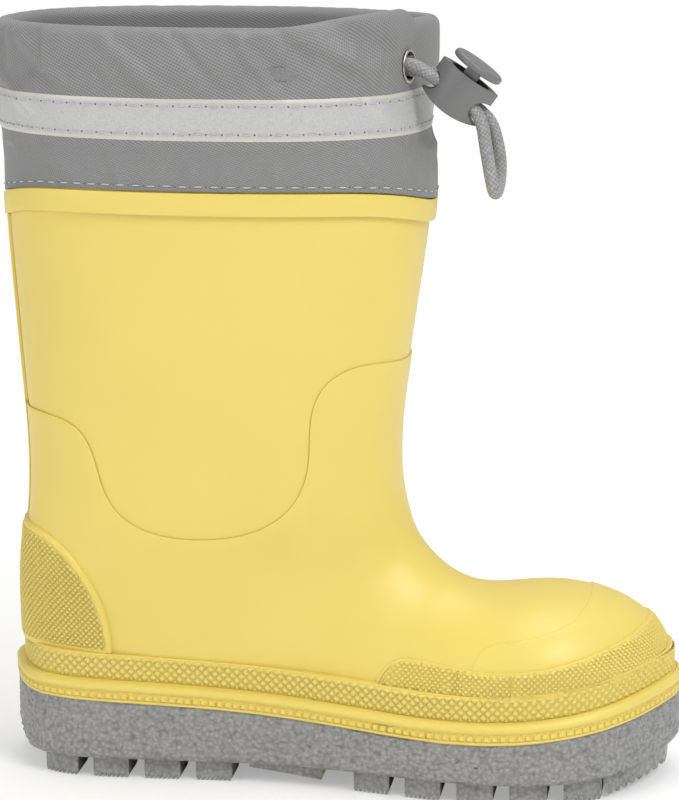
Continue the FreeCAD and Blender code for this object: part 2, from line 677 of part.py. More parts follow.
os.makedirs("parts", exist_ok=True)
for name, shape in build().items():
    print("%-18s valid %s solids %d volume %.1f" % (name, shape.isValid(), len(shape.Solids), shape.Volume))
    shape.exportStep("parts/" + name + ".step")
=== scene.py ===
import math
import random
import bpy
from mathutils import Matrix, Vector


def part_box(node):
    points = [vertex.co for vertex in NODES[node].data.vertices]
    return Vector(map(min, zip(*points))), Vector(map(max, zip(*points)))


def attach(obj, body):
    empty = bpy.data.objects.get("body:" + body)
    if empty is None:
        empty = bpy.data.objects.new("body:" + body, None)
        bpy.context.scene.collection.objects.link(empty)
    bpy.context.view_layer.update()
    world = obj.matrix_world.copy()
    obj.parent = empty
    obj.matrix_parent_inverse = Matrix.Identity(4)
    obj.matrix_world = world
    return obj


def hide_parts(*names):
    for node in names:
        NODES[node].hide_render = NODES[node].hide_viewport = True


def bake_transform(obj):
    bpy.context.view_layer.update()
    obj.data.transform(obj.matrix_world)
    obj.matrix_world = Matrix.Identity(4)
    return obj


bl_info = {
    "name": "Child's rain boot",
    "version": (1, 0, 0),
    "blender": (4, 5, 0),
    "location": "View3D > Sidebar > Rain boot",
    "description": "Builds the finished looks of a rubber rain boot with a drawcord cuff round its CAD frame",
    "category": "Object",
}

import bmesh
import bpy
import numpy as np
from mathutils import Vector, kdtree, noise
from mathutils.bvhtree import BVHTree

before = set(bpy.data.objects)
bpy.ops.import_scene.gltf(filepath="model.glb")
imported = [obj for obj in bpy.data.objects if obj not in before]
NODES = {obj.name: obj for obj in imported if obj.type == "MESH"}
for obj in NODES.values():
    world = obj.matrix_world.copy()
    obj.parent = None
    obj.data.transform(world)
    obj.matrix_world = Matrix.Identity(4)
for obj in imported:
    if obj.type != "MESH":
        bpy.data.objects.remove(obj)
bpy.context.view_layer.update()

MM = 0.001

# ---- heights and lengths read from the frame, in metres ----
SOLE_LOW, SOLE_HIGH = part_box("outsole")
CUFF_LOW, CUFF_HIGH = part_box("cuff")
TAPE_LOW, TAPE_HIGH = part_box("reflective_tape")
EYELET_LOW, EYELET_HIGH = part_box("eyelet")
EYELET_AT = (Vector(EYELET_LOW) + Vector(EYELET_HIGH)) / 2
BARREL = 4.75 * MM              # radius of the hole in the fabric
SOLE_SPINE = (SOLE_LOW[0] + 34 * MM, SOLE_HIGH[0] - 34 * MM)
CUFF_SPINE = (CUFF_LOW[0] + 42 * MM, CUFF_HIGH[0] - 40 * MM)
HEM_RISE = 5.6 * MM             # the cuff's lower edge is that much higher at the boot's sides
HEM_HALF_WIDTH = 42 * MM
HEM_BLEND = 18 * MM             # height over which the rise dies out
RIM_RISE = 3.5 * MM             # the cuff's rim is that much higher beside the eyelet

# ---- drawcord: the route's control points and where it meets the lock ----
CORD_ROUTE = [(x * MM, y * MM, z * MM) for x, y, z in (
    (18.9, -12.0, 214.1), (22.9, -12.9, 213.7), (27.6, -12.9, 210.9), (34.3, -12.9, 205.9),
    (40.4, -12.9, 201.6), (43.0, -12.9, 197.0), (43.9, -13.2, 191.2), (45.0, -14.6, 185.8),
    (46.0, -15.4, 180.9), (46.5, -14.1, 177.7), (46.9, -10.9, 176.3), (47.3, -7.7, 177.7),
    (47.7, -6.4, 180.9), (47.8, -7.4, 186.0), (47.0, -8.6, 191.3), (45.4, -9.1, 196.9),
    (41.6, -9.1, 200.7), (34.3, -9.1, 205.9), (27.6, -9.1, 210.9), (23.6, -9.7, 211.8),
    (19.5, -8.9, 211.9))]


# ---- sizes and colours that a user would change ----
class BootSizes(bpy.types.PropertyGroup):
    foxing_pitch: bpy.props.FloatProperty(
        name="Foxing knurl", description="Width of one diamond of the foxing band",
        default=2.65 * MM, unit="LENGTH")
    heel_pitch: bpy.props.FloatProperty(
        name="Heel knurl", description="Width of one diamond of the heel counter",
        default=1.85 * MM, unit="LENGTH")
    toe_pitch: bpy.props.FloatProperty(
        name="Toe knurl", description="Width of one diamond of the toe bumper",
        default=1.75 * MM, unit="LENGTH")
    knurl_height: bpy.props.FloatProperty(
        name="Knurl height", description="Height of one diamond above its groove",
        default=0.8 * MM, unit="LENGTH")
    rib_pitch: bpy.props.FloatProperty(
        name="Welt ribs", description="Distance between two ribs of the welt",
        default=2.4 * MM, unit="LENGTH")
    stitch_pitch: bpy.props.FloatProperty(
        name="Stitch length", description="Distance between two needle holes",
        default=4.6 * MM, unit="LENGTH")
    cord_diameter: bpy.props.FloatProperty(
        name="Drawcord", description="Diameter of the braided drawcord",
        default=3.8 * MM, unit="LENGTH")
    fabric_thickness: bpy.props.FloatProperty(
        name="Cuff fabric", description="Thickness of the cuff's woven fabric",
        default=0.7 * MM, unit="LENGTH")


def linear(code):
    """The linear RGBA of an sRGB hex colour."""
    parts = [int(code[i:i + 2], 16) / 255 for i in (0, 2, 4)]
    return tuple(c / 12.92 if c <= 0.04045 else ((c + 0.055) / 1.055) ** 2.4 for c in parts) + (1.0,)


def colour(title, code, about):
    return bpy.props.FloatVectorProperty(name=title, description=about, default=linear(code)[:3],
                                         subtype="COLOR", size=3, min=0, max=1)


class BootColours(bpy.types.PropertyGroup):
    rubber: colour("Rubber", "dfc966", "Yellow rubber of the upper and its trims")
    sole: colour("Sole", "8a8a88", "Grey rubber of the outsole")
    fabric: colour("Cuff", "808080", "Grey woven fabric of the cuff")
    tape: colour("Reflective tape", "b9b9b9", "Glass bead face of the tape")
    tape_edge: colour("Tape edge", "c4c2b6", "Cream edges of the tape")
    # the cord's two colours are painted light: the light one is a painted highlight on each yarn's crown, the
    # dark one painted shade at the yarn edges, both broken by a random mottle
    cord_light: colour("Cord, light yarn", "b2b2b2", "Light yarn of the braid")
    cord_dark: colour("Cord, dark yarn", "4e4e4e", "Dark yarn of the braid")
    lock: colour("Cord lock", "6f6f6f", "Grey plastic of the cord lock")


# ---- small helpers for the modelling ----
def deselect():
    bpy.ops.object.select_all(action="DESELECT")


def activate(piece):
    deselect()
    piece.select_set(True)
    bpy.context.view_layer.objects.active = piece


def modify(piece, kind, **settings):
    """Adds a modifier with its settings and applies it."""
    activate(piece)
    modifier = piece.modifiers.new(kind.title(), kind)
    for key, value in settings.items():
        setattr(modifier, key, value)
    bpy.ops.object.modifier_apply(modifier=modifier.name)


def read_points(piece):
    points = np.empty(len(piece.data.vertices) * 3)
    piece.data.vertices.foreach_get("co", points)
    return points.reshape(-1, 3)


def write_points(piece, points):
    piece.data.vertices.foreach_set("co", np.asarray(points, dtype=float).ravel())
    piece.data.update()


def merged_copy(name, *nodes):
    """A copy of CAD nodes with their loose triangles joined, in a mesh of its own."""
    deselect()
    copies = []
    for node in nodes:
        copy = NODES[node].copy()
        copy.data = NODES[node].data.copy()
        copy.parent = None
        copy.matrix_world.identity()
        bpy.context.collection.objects.link(copy)
        copy.hide_viewport = copy.hide_render = False
        copy.hide_set(False)
        copies.append(copy)
    for copy in copies:
        copy.select_set(True)
    bpy.context.view_layer.objects.active = copies[0]
    if len(copies) > 1:
        bpy.ops.object.join()
    piece = bpy.context.view_layer.objects.active
    piece.name = name
    piece.data.name = name
    bpy.ops.object.mode_set(mode="EDIT")
    bpy.ops.mesh.select_all(action="SELECT")
    bpy.ops.mesh.remove_doubles(threshold=0.01 * MM)
    bpy.ops.object.mode_set(mode="OBJECT")
    return piece


def smooth(piece, degrees=35):
    activate(piece)
    bpy.ops.object.shade_smooth_by_angle(angle=math.radians(degrees))


def clothe(piece, material):
    piece.data.materials.clear()
    piece.data.materials.append(material)


def grid(name, columns, rows, place, closed=False):
    """A grid primitive whose points place(u, v) lays, u and v from 0 to 1; closed joins its two ends in u."""
    deselect()
    bpy.ops.mesh.primitive_grid_add(x_subdivisions=columns, y_subdivisions=rows, size=1, calc_uvs=True)
    piece = bpy.context.view_layer.objects.active
    piece.name = name
    piece.data.name = name
    flat = read_points(piece) + (0.5, 0.5, 0)
    write_points(piece, place(flat[:, 0], flat[:, 1]))
    if closed:
        bpy.ops.object.mode_set(mode="EDIT")
        bpy.ops.mesh.select_all(action="SELECT")
        bpy.ops.mesh.remove_doubles(threshold=0.01 * MM)
        bpy.ops.object.mode_set(mode="OBJECT")
    return piece


def face_outwards(piece):
    activate(piece)
    bpy.ops.object.mode_set(mode="EDIT")
    bpy.ops.mesh.select_all(action="SELECT")
    bpy.ops.mesh.normals_make_consistent(inside=False)
    bpy.ops.object.mode_set(mode="OBJECT")


class Wall:
    """The outer wall of some pieces, found by level rays that come from outside."""

    def __init__(self, *pieces):
        vertices, faces = [], []
        for piece in pieces:
            start = len(vertices)
            vertices += [v.co.copy() for v in piece.data.vertices]
            faces += [[start + i for i in p.vertices] for p in piece.data.polygons]
        self.tree = BVHTree.FromPolygons(vertices, faces)

    def hit(self, start, direction, reach):
        """The first place that the ray meets, if the wall faces it there."""
        place, normal, _, _ = self.tree.ray_cast(Vector(start), Vector(direction), reach)
        if place is None or normal.dot(Vector(direction)) > -0.05:
            return None
        return place


class Ring:
    """A level outline round a wall, even in length, seen from a spine along X."""

    def __init__(self, wall, height, spine, count=720, away=90 * MM, skip=None):
        straight = spine[1] - spine[0]
        around = 2 * math.pi * away
        points = []
        for k in range(count):
            place = k / count * (around + 2 * straight)
            if place < straight:
                base, turn = (spine[0] + place, 0), -math.pi / 2
            elif place < straight + around / 2:
                base, turn = (spine[1], 0), (place - straight) / away - math.pi / 2
            elif place < 2 * straight + around / 2:
                base, turn = (spine[1] - (place - straight - around / 2), 0), math.pi / 2
            else:
                base, turn = (spine[0], 0), (place - 2 * straight) / away - math.pi / 2
            ray = (math.cos(turn), math.sin(turn))
            start = (base[0] + ray[0] * away, base[1] + ray[1] * away, height)
            hit = wall.hit(start, (-ray[0], -ray[1], 0), away)
            if hit is not None and not (skip and skip(hit)):
                points.append(hit.xy)
        loop = np.array(points + points[:1])
        steps = np.hypot(*np.diff(loop, axis=0).T)
        self.marks = np.concatenate(([0], np.cumsum(steps)))
        self.length = self.marks[-1]
        self.loop = loop

    def at(self, s):
        """Points and outward normals at lengths s along the ring."""
        s = np.asarray(s) % self.length
        reach = 2.0 * MM
        xy = [np.interp(s, self.marks, self.loop[:, k]) for k in (0, 1)]
        ahead = [np.interp((s + reach) % self.length, self.marks, self.loop[:, k]) for k in (0, 1)]
        behind = [np.interp((s - reach) % self.length, self.marks, self.loop[:, k]) for k in (0, 1)]
        tangent = np.stack([ahead[0] - behind[0], ahead[1] - behind[1]], axis=-1)
        tangent /= np.linalg.norm(tangent, axis=-1, keepdims=True)
        normal = np.stack([tangent[..., 1], -tangent[..., 0]], axis=-1)
        return np.stack(xy, axis=-1), normal


def cast(wall, ring, s, z, before=6 * MM, reach=14 * MM):
    """Where level rays meet the wall at lengths s and heights z (NaN where they miss), and their normals."""
    xy, normal = ring.at(s)
    hits = np.full((len(s), 3), np.nan)
    for k in range(len(s)):
        n = normal[k]
        start = (xy[k][0] + n[0] * before, xy[k][1] + n[1] * before, z[k])
        hit = wall.hit(start, (-n[0], -n[1], 0), reach)
        if hit is not None:
            hits[k] = hit
    return hits, normal


def band_limits(wall, ring, low, high, columns=240, step=0.25 * MM):
    """The lowest and highest place of a band at even lengths along the ring, and those lengths."""
    s = np.arange(columns) / columns * ring.length
    levels = np.arange(low, high, step)
    bottom, top = np.full(columns, np.nan), np.full(columns, np.nan)
    for level in levels:
        hits, _ = cast(wall, ring, s, np.full(columns, level), reach=9 * MM)
        found = ~np.isnan(hits[:, 0])
        bottom = np.where(found & np.isnan(bottom), level, bottom)
        top = np.where(found, level, top)
    return s, bottom, top


def evened(values, reach=4):
    """Values round a closed ring, each the mean of its neighbourhood."""
    return np.mean([np.roll(values, k) for k in range(-reach, reach + 1)], axis=0)


def along(s, marks, values, length):
    """Values read at lengths s round a closed ring."""
    return np.interp(np.asarray(s) % length, np.append(marks, length), np.append(values, values[0]))


def rim_loops(piece, shell):
    """Closed lines along the outer rim of a piece that lies on a shell, the piece's thickness on it, and for
    every point of a line the direction that leads onto the piece."""
    mesh = bmesh.new()
    mesh.from_mesh(piece.data)
    found = []
    for edge in mesh.edges:
        if len(edge.link_faces) == 2 and edge.calc_face_angle(0) > math.radians(50):
            middle = (edge.verts[0].co + edge.verts[1].co) / 2
            _, normal, _, away = shell.tree.find_nearest(middle)
            outer = max(edge.link_faces, key=lambda face: face.normal.dot(normal))
            found.append((edge.verts[0].index, edge.verts[1].index, away,
                          outer.calc_center_median() - middle))
    thickness = float(np.percentile([away for _, _, away, _ in found], 60))
    beside = {}
    for a, b, away, onto in found:
        if away > 0.8 * thickness:
            beside.setdefault(a, []).append((b, onto))
            beside.setdefault(b, []).append((a, onto))
    places = [v.co.copy() for v in mesh.verts]
    mesh.free()
    loops = []
    while beside:
        here = next(iter(beside))
        line = []
        while here in beside:
            ways = beside.pop(here)
            line.append((places[here], ways[0][1]))
            here = next((way for way, _ in ways if way in beside), None)
        if len(line) > 8:
            loops.append((np.array([place for place, _ in line]), np.array([onto for _, onto in line])))
    return loops, thickness


def resampled(loop, marks, at):
    """The closed loop's points at the lengths in at; marks are the lengths of its own points."""
    return np.stack([np.interp(at, marks, np.append(loop[:, k], loop[0, k])) for k in range(3)], axis=1)


def ribbon(name, node, profile, step=1.1 * MM):
    """A rounded edge along a rubber overlay's rim: profile gives rows of (distance off the overlay,
    share of its thickness, height added), in millimetres."""
    shell = Wall(NODES["upper"])
    copy = merged_copy(name, node)
    loops, thickness = rim_loops(copy, shell)
    bpy.data.objects.remove(copy)
    rows = len(profile) - 1
    for places, onto in loops:
        run = np.linalg.norm(np.diff(np.vstack([places, places[:1]]), axis=0), axis=1)
        marks = np.concatenate(([0], np.cumsum(run)))
        count = int(marks[-1] / step)
        if count < 12 or run.max() > 15 * MM:
            continue
        at = np.arange(count) / count * marks[-1]
        line = resampled(places, marks, at)
        lead = resampled(onto, marks, at)
        ahead = np.roll(line, -1, axis=0) - np.roll(line, 1, axis=0)
        seats = [shell.tree.find_nearest(Vector(place)) for place in line]
        normals = np.array([seat[1] for seat in seats])
        normals += np.roll(normals, 1, axis=0) + np.roll(normals, -1, axis=0)
        normals /= np.linalg.norm(normals, axis=1, keepdims=True)
        off = np.cross(ahead, normals)
        off /= np.linalg.norm(off, axis=1, keepdims=True)
        off *= -np.sign(np.sum(off * lead))
        laid = np.empty((rows + 1, count, 3))
        for row, (away, share, added) in enumerate(profile):
            for k in range(count):
                seat = shell.tree.find_nearest(Vector(line[k] + off[k] * away * MM))[0]
                laid[row, k] = np.array(seat) + normals[k] * (share * thickness + added * MM)

        def lay(u, v):
            return laid[np.rint(v * rows).astype(int), np.rint(u * count).astype(int) % count]

        piece = grid(name, count, rows, lay, closed=True)
        if sum(face.normal.dot(shell.tree.find_nearest(face.center)[1]) for face in piece.data.polygons) < 0:
            activate(piece)
            bpy.ops.object.mode_set(mode="EDIT")
            bpy.ops.mesh.select_all(action="SELECT")
            bpy.ops.mesh.flip_normals()
            bpy.ops.object.mode_set(mode="OBJECT")
        smooth(piece, 75)
        clothe(piece, rubber())
        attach(piece, "boot")
    return loops


# ---- materials ----
def add(tree, kind, inputs=(), **settings):
    """Adds a shader node: inputs gives each socket a value or another node's socket."""
    new = tree.nodes.new(kind)
    for key, value in settings.items():
        setattr(new, key, value)
    for socket, value in dict(inputs).items():
        if isinstance(value, bpy.types.NodeSocket):
            tree.links.new(value, new.inputs[socket])
        else:
            new.inputs[socket].default_value = value
    return new


def started(name, **values):
    """A material with its main shader, whose uniform values are set on its own sockets."""
    material = bpy.data.materials.new(name)
    material.use_nodes = True
    shader = material.node_tree.nodes["Principled BSDF"]
    for socket, value in values.items():
        shader.inputs[socket.replace("_", " ")].default_value = value
    return material, material.node_tree, shader


def tint(base, factor):
    return tuple(min(1.0, c * factor) for c in base[:3]) + (1.0,)


def per_mm(millimetres):
    """The scale of a pattern whose features are that large, on coordinates in metres."""
    return 1 / (millimetres * MM)


def yellow_rubber(base):
    """Vulcanised rubber from a polished mould: an even colour, a wide soft highlight, faint flow marks."""
    material, tree, shader = started("moulded_rubber", IOR=1.52, Specular_IOR_Level=0.45,
                                     Coat_Weight=0.08, Coat_Roughness=0.3)
    rough = 0.42
    place = add(tree, "ShaderNodeTexCoord").outputs["Object"]
    flow = add(tree, "ShaderNodeTexNoise", {"Vector": place, "Scale": per_mm(25.0), "Detail": 3.0})
    shade = add(tree, "ShaderNodeMix", {"Factor": flow.outputs["Fac"], "A": tint(base, 0.96),
                                        "B": tint(base, 1.03)},
                data_type="RGBA")
    tree.links.new(shade.outputs[2], shader.inputs["Base Color"])
    grain = add(tree, "ShaderNodeTexNoise", {"Vector": place, "Scale": per_mm(1.2), "Detail": 2.0})
    gloss = add(tree, "ShaderNodeMapRange", {"Value": grain.outputs["Fac"], "To Min": rough - 0.05,
                                             "To Max": rough + 0.06})
    tree.links.new(gloss.outputs[0], shader.inputs["Roughness"])
    bump = add(tree, "ShaderNodeBump", {"Height": grain.outputs["Fac"], "Strength": 0.05,
                                        "Distance": 0.05 * MM})
    tree.links.new(bump.outputs[0], shader.inputs["Normal"])
    return material


def sole_rubber(base):
    """Carbon free grey sole compound from a spark-eroded mould: matt, with pale scuffs and a fine pebbled
    grain whose colour holds a painted highlight at each pebble's centre and painted shade at its edges.
    """
    material, tree, shader = started("pressed_sole_rubber", IOR=1.52, Specular_IOR_Level=0.4)
    place = add(tree, "ShaderNodeTexCoord").outputs["Object"]
    wavy = add(tree, "ShaderNodeTexNoise", {"Vector": place, "Scale": per_mm(1.6), "Detail": 2.0})
    shifted = add(tree, "ShaderNodeMix", {"Factor": 0.0012, "A": place, "B": wavy.outputs["Color"]},
                  data_type="VECTOR")
    pebbles = add(tree, "ShaderNodeTexVoronoi", {"Vector": shifted.outputs[1], "Scale": per_mm(1.35)})
    cloud = add(tree, "ShaderNodeTexNoise", {"Vector": place, "Scale": per_mm(5.0), "Detail": 3.0})
    blend = add(tree, "ShaderNodeMix", {"Factor": 0.3, "A": pebbles.outputs["Distance"],
                                        "B": cloud.outputs["Fac"]}, data_type="FLOAT")
    # painted light on the grain: bright pebble centres are a painted highlight, dark pebble edges painted
    # shade, mixed with a random cloud of pale scuffs
    shade = add(tree, "ShaderNodeMix", {"Factor": blend.outputs[0], "A": tint(base, 1.5),
                                        "B": tint(base, 0.55)},
                data_type="RGBA")
    tree.links.new(shade.outputs[2], shader.inputs["Base Color"])
    gloss = add(tree, "ShaderNodeMapRange", {"Value": cloud.outputs["Fac"], "To Min": 0.2, "To Max": 0.45})
    tree.links.new(gloss.outputs[0], shader.inputs["Roughness"])
    bump = add(tree, "ShaderNodeBump", {"Height": pebbles.outputs["Distance"], "Strength": 0.9,
                                        "Distance": 0.3 * MM}, invert=True)
    tree.links.new(bump.outputs[0], shader.inputs["Normal"])
    return material


WAVE = 0.314             # a wave texture's period, in its own coordinates at scale 1


def woven_nylon(base, around, upward):
    """Coated nylon oxford: fine slanting rows of threads, drawn a little coarse so that they show."""
    material, tree, shader = started("oxford_nylon", IOR=1.5, Specular_IOR_Level=0.4, Sheen_Weight=0.15,
                                     Sheen_Roughness=0.4)
    cloth = add(tree, "ShaderNodeUVMap", uv_map="UVMap").outputs[0]
    metres = add(tree, "ShaderNodeMapping", {"Vector": cloth, "Scale": (around, upward, 1.0)})
    twill = add(tree, "ShaderNodeMapping", {"Vector": metres.outputs[0],
                                            "Rotation": (0, 0, math.radians(28))})
    rows = add(tree, "ShaderNodeTexWave", {"Vector": twill.outputs[0], "Scale": WAVE * per_mm(0.85),
                                           "Distortion": 0.5, "Detail": 1.0, "Detail Scale": 2.0},
               wave_type="BANDS", bands_direction="Y")
    picks = add(tree, "ShaderNodeTexWave", {"Vector": twill.outputs[0], "Scale": WAVE * per_mm(0.8),
                                            "Distortion": 0.6}, wave_type="BANDS", bands_direction="X")
    weave = add(tree, "ShaderNodeMix", {"Factor": 0.42, "A": rows.outputs["Fac"], "B": picks.outputs["Fac"]},
                data_type="FLOAT")
    wear = add(tree, "ShaderNodeTexNoise", {"Vector": metres.outputs[0], "Scale": per_mm(14.0),
                                            "Detail": 4.0})
    shade = add(tree, "ShaderNodeMix", {"Factor": weave.outputs[0], "A": tint(base, 0.58),
                                        "B": tint(base, 1.42)},
                data_type="RGBA")
    dusty = add(tree, "ShaderNodeMix", {"Factor": wear.outputs["Fac"], "A": tint(base, 0.9),
                                        "B": tint(base, 1.1)},
                data_type="RGBA")
    both = add(tree, "ShaderNodeMix", {"Factor": 0.25, "A": shade.outputs[2], "B": dusty.outputs[2]},
               data_type="RGBA")
    tree.links.new(both.outputs[2], shader.inputs["Base Color"])
    gloss = add(tree, "ShaderNodeMapRange", {"Value": weave.outputs[0], "To Min": 0.62, "To Max": 0.46})
    tree.links.new(gloss.outputs[0], shader.inputs["Roughness"])
    bump = add(tree, "ShaderNodeBump", {"Height": weave.outputs[0], "Strength": 0.7, "Distance": 0.15 * MM})
    tree.links.new(bump.outputs[0], shader.inputs["Normal"])
    return material


def glass_bead_tape(face, edge, around, upward):
    """Reflective tape: a fine bright grit of glass beads between cream bound edges."""
    material, tree, shader = started("glass_bead_tape", IOR=1.5, Metallic=0.1, Specular_IOR_Level=0.5)
    cloth = add(tree, "ShaderNodeUVMap", uv_map="UVMap").outputs[0]
    metres = add(tree, "ShaderNodeMapping", {"Vector": cloth, "Scale": (around, upward, 1.0)})
    beads = add(tree, "ShaderNodeTexVoronoi", {"Vector": metres.outputs[0], "Scale": per_mm(0.45)})
    up = add(tree, "ShaderNodeSeparateXYZ", {"Vector": cloth}).outputs["Y"]
    middle = add(tree, "ShaderNodeMath", {0: up, 1: 0.5}, operation="SUBTRACT")
    away = add(tree, "ShaderNodeMath", {0: middle.outputs[0]}, operation="ABSOLUTE")
    border = add(tree, "ShaderNodeMapRange", {"Value": away.outputs[0], "From Min": 0.40, "From Max": 0.44})
    grit = add(tree, "ShaderNodeMix", {"Factor": beads.outputs["Distance"], "A": tint(face, 1.08),
                                       "B": tint(face, 0.86)}, data_type="RGBA")
    shade = add(tree, "ShaderNodeMix", {"Factor": border.outputs[0], "A": grit.outputs[2], "B": edge},
                data_type="RGBA")
    tree.links.new(shade.outputs[2], shader.inputs["Base Color"])
    gloss = add(tree, "ShaderNodeMapRange", {"Value": beads.outputs["Distance"], "To Min": 0.35,
                                             "To Max": 0.5})
    tree.links.new(gloss.outputs[0], shader.inputs["Roughness"])
    bump = add(tree, "ShaderNodeBump", {"Height": beads.outputs["Distance"], "Strength": 0.25,
                                        "Distance": 0.05 * MM})
    tree.links.new(bump.outputs[0], shader.inputs["Normal"])
    return material


def polyester_braid(light, dark, length):
    """Flat braided polyester yarns with their own fine filaments, coloured with painted light: a painted
    highlight along each yarn's crown and painted shade at its edges, where it passes under its neighbours,
    broken up by a random mottle.
    """
    material, tree, shader = started("polyester_braid", IOR=1.5, Roughness=0.6, Specular_IOR_Level=0.35,
                                     Sheen_Weight=0.1)
    cloth = add(tree, "ShaderNodeUVMap", uv_map="UVMap").outputs[0]
    parts = add(tree, "ShaderNodeSeparateXYZ", {"Vector": cloth})
    turns = length / BRAID_LAY
    lengthwise = add(tree, "ShaderNodeMath", {0: parts.outputs["X"], 1: turns * BRAID_YARNS / 2},
                     operation="MULTIPLY").outputs[0]
    round_it = add(tree, "ShaderNodeMath", {0: parts.outputs["Y"], 1: BRAID_YARNS / 2},
                   operation="MULTIPLY").outputs[0]
    left = add(tree, "ShaderNodeMath", {0: lengthwise, 1: round_it}, operation="ADD").outputs[0]
    right = add(tree, "ShaderNodeMath", {0: lengthwise, 1: round_it}, operation="SUBTRACT").outputs[0]
    left_yarn = add(tree, "ShaderNodeMath", {0: left}, operation="FLOOR").outputs[0]
    right_yarn = add(tree, "ShaderNodeMath", {0: right}, operation="FLOOR").outputs[0]
    both = add(tree, "ShaderNodeMath", {0: left_yarn, 1: right_yarn}, operation="ADD").outputs[0]
    over = add(tree, "ShaderNodeMath", {0: both, 1: 2.0}, operation="FLOORED_MODULO")
    across = add(tree, "ShaderNodeMix", {"Factor": over.outputs[0], "A": left, "B": right}, data_type="FLOAT")
    ridge = add(tree, "ShaderNodeMath", {0: add(tree, "ShaderNodeMath", {0: across.outputs[0], 1: math.pi},
                                                operation="MULTIPLY").outputs[0]}, operation="SINE")
    # crown is 1 along the middle of the top yarn and 0 at its edges: it paints a highlight on the crown and
    # shade at the edges
    crown = add(tree, "ShaderNodeMath", {0: ridge.outputs[0]}, operation="ABSOLUTE")
    mottle = add(tree, "ShaderNodeTexNoise", {"Vector": add(tree, "ShaderNodeTexCoord").outputs["Object"],
                                              "Scale": per_mm(1.1), "Detail": 1.0})
    lightness = add(tree, "ShaderNodeMath", {0: crown.outputs[0],
                                             1: mottle.outputs["Fac"]}, operation="MULTIPLY")
    spread = add(tree, "ShaderNodeMapRange", {"Value": lightness.outputs[0], "From Min": 0.1,
                                              "From Max": 0.6})
    shade = add(tree, "ShaderNodeMix", {"Factor": spread.outputs[0], "A": dark, "B": light}, data_type="RGBA")
    fibres = add(tree, "ShaderNodeTexNoise", {"Vector": add(tree, "ShaderNodeTexCoord").outputs["Object"],
                                              "Scale": per_mm(0.35), "Detail": 2.0})
    worn = add(tree, "ShaderNodeMix", {"Factor": fibres.outputs["Fac"], "A": shade.outputs[2],
                                       "B": linear("9a9a9a")}, data_type="RGBA")
    tree.links.new(worn.outputs[2], shader.inputs["Base Color"])
    bump = add(tree, "ShaderNodeBump", {"Height": fibres.outputs["Fac"], "Strength": 0.4,
                                        "Distance": 0.1 * MM})
    tree.links.new(bump.outputs[0], shader.inputs["Normal"])
    return material


def moulded_plastic(base):
    """Acetal from a spark-eroded mould: grey, with a satin grain that breaks up the highlight."""
    material, tree, shader = started("moulded_acetal", IOR=1.48, Specular_IOR_Level=0.5)
    place = add(tree, "ShaderNodeTexCoord").outputs["Object"]
    grain = add(tree, "ShaderNodeTexNoise", {"Vector": place, "Scale": per_mm(0.4), "Detail": 3.0})
    shade = add(tree, "ShaderNodeMix", {"Factor": grain.outputs["Fac"], "A": tint(base, 0.92),
                                        "B": tint(base, 1.08)}, data_type="RGBA")
    tree.links.new(shade.outputs[2], shader.inputs["Base Color"])
    gloss = add(tree, "ShaderNodeMapRange", {"Value": grain.outputs["Fac"], "To Min": 0.34, "To Max": 0.48})
    tree.links.new(gloss.outputs[0], shader.inputs["Roughness"])
    bump = add(tree, "ShaderNodeBump", {"Height": grain.outputs["Fac"], "Strength": 0.2,
                                        "Distance": 0.05 * MM})
    tree.links.new(bump.outputs[0], shader.inputs["Normal"])
    return material


def plated_metal(name, code, rough):
    """Nickel-plated brass or spring steel: bright, with fine rolling marks in its gloss."""
    material, tree, shader = started(name, Metallic=1.0, Base_Color=linear(code))
    place = add(tree, "ShaderNodeTexCoord").outputs["Object"]
    marks = add(tree, "ShaderNodeTexNoise", {"Vector": place, "Scale": per_mm(0.5), "Detail": 3.0})
    gloss = add(tree, "ShaderNodeMapRange", {"Value": marks.outputs["Fac"], "To Min": rough - 0.06,
                                             "To Max": rough + 0.1})
    tree.links.new(gloss.outputs[0], shader.inputs["Roughness"])
    return material


def fibrous(name, base, fibre, rough=0.9):
    """Knitted lining, felt or sewing thread: soft, with a fine uneven pile."""
    material, tree, shader = started(name, IOR=1.5, Roughness=rough, Specular_IOR_Level=0.2, Sheen_Weight=0.3)
    place = add(tree, "ShaderNodeTexCoord").outputs["Object"]
    pile = add(tree, "ShaderNodeTexVoronoi", {"Vector": place, "Scale": per_mm(fibre)})
    shade = add(tree, "ShaderNodeMix", {"Factor": pile.outputs["Distance"], "A": tint(base, 1.1),
                                        "B": tint(base, 0.75)}, data_type="RGBA")
    tree.links.new(shade.outputs[2], shader.inputs["Base Color"])
    bump = add(tree, "ShaderNodeBump", {"Height": pile.outputs["Distance"], "Strength": 0.5,
                                        "Distance": fibre * 0.3 * MM})
    tree.links.new(bump.outputs[0], shader.inputs["Normal"])
    return material


BRAID_YARNS = 16         # yarns that run each way round the cord
BRAID_LAY = 11.0 * MM    # length in which one yarn goes once round


def palette():
    """The colours that the sidebar shows, as RGBA."""
    chosen = bpy.context.scene.boot_colours
    return {key: tuple(getattr(chosen, key)) + (1.0,) for key in BootColours.__annotations__}


FINISHES = {}


def finish(key, make):
    """The material of that key, made once."""
    if key not in FINISHES:
        FINISHES[key] = make()
    return FINISHES[key]


def rubber():
    return finish("rubber", lambda: yellow_rubber(palette()["rubber"]))


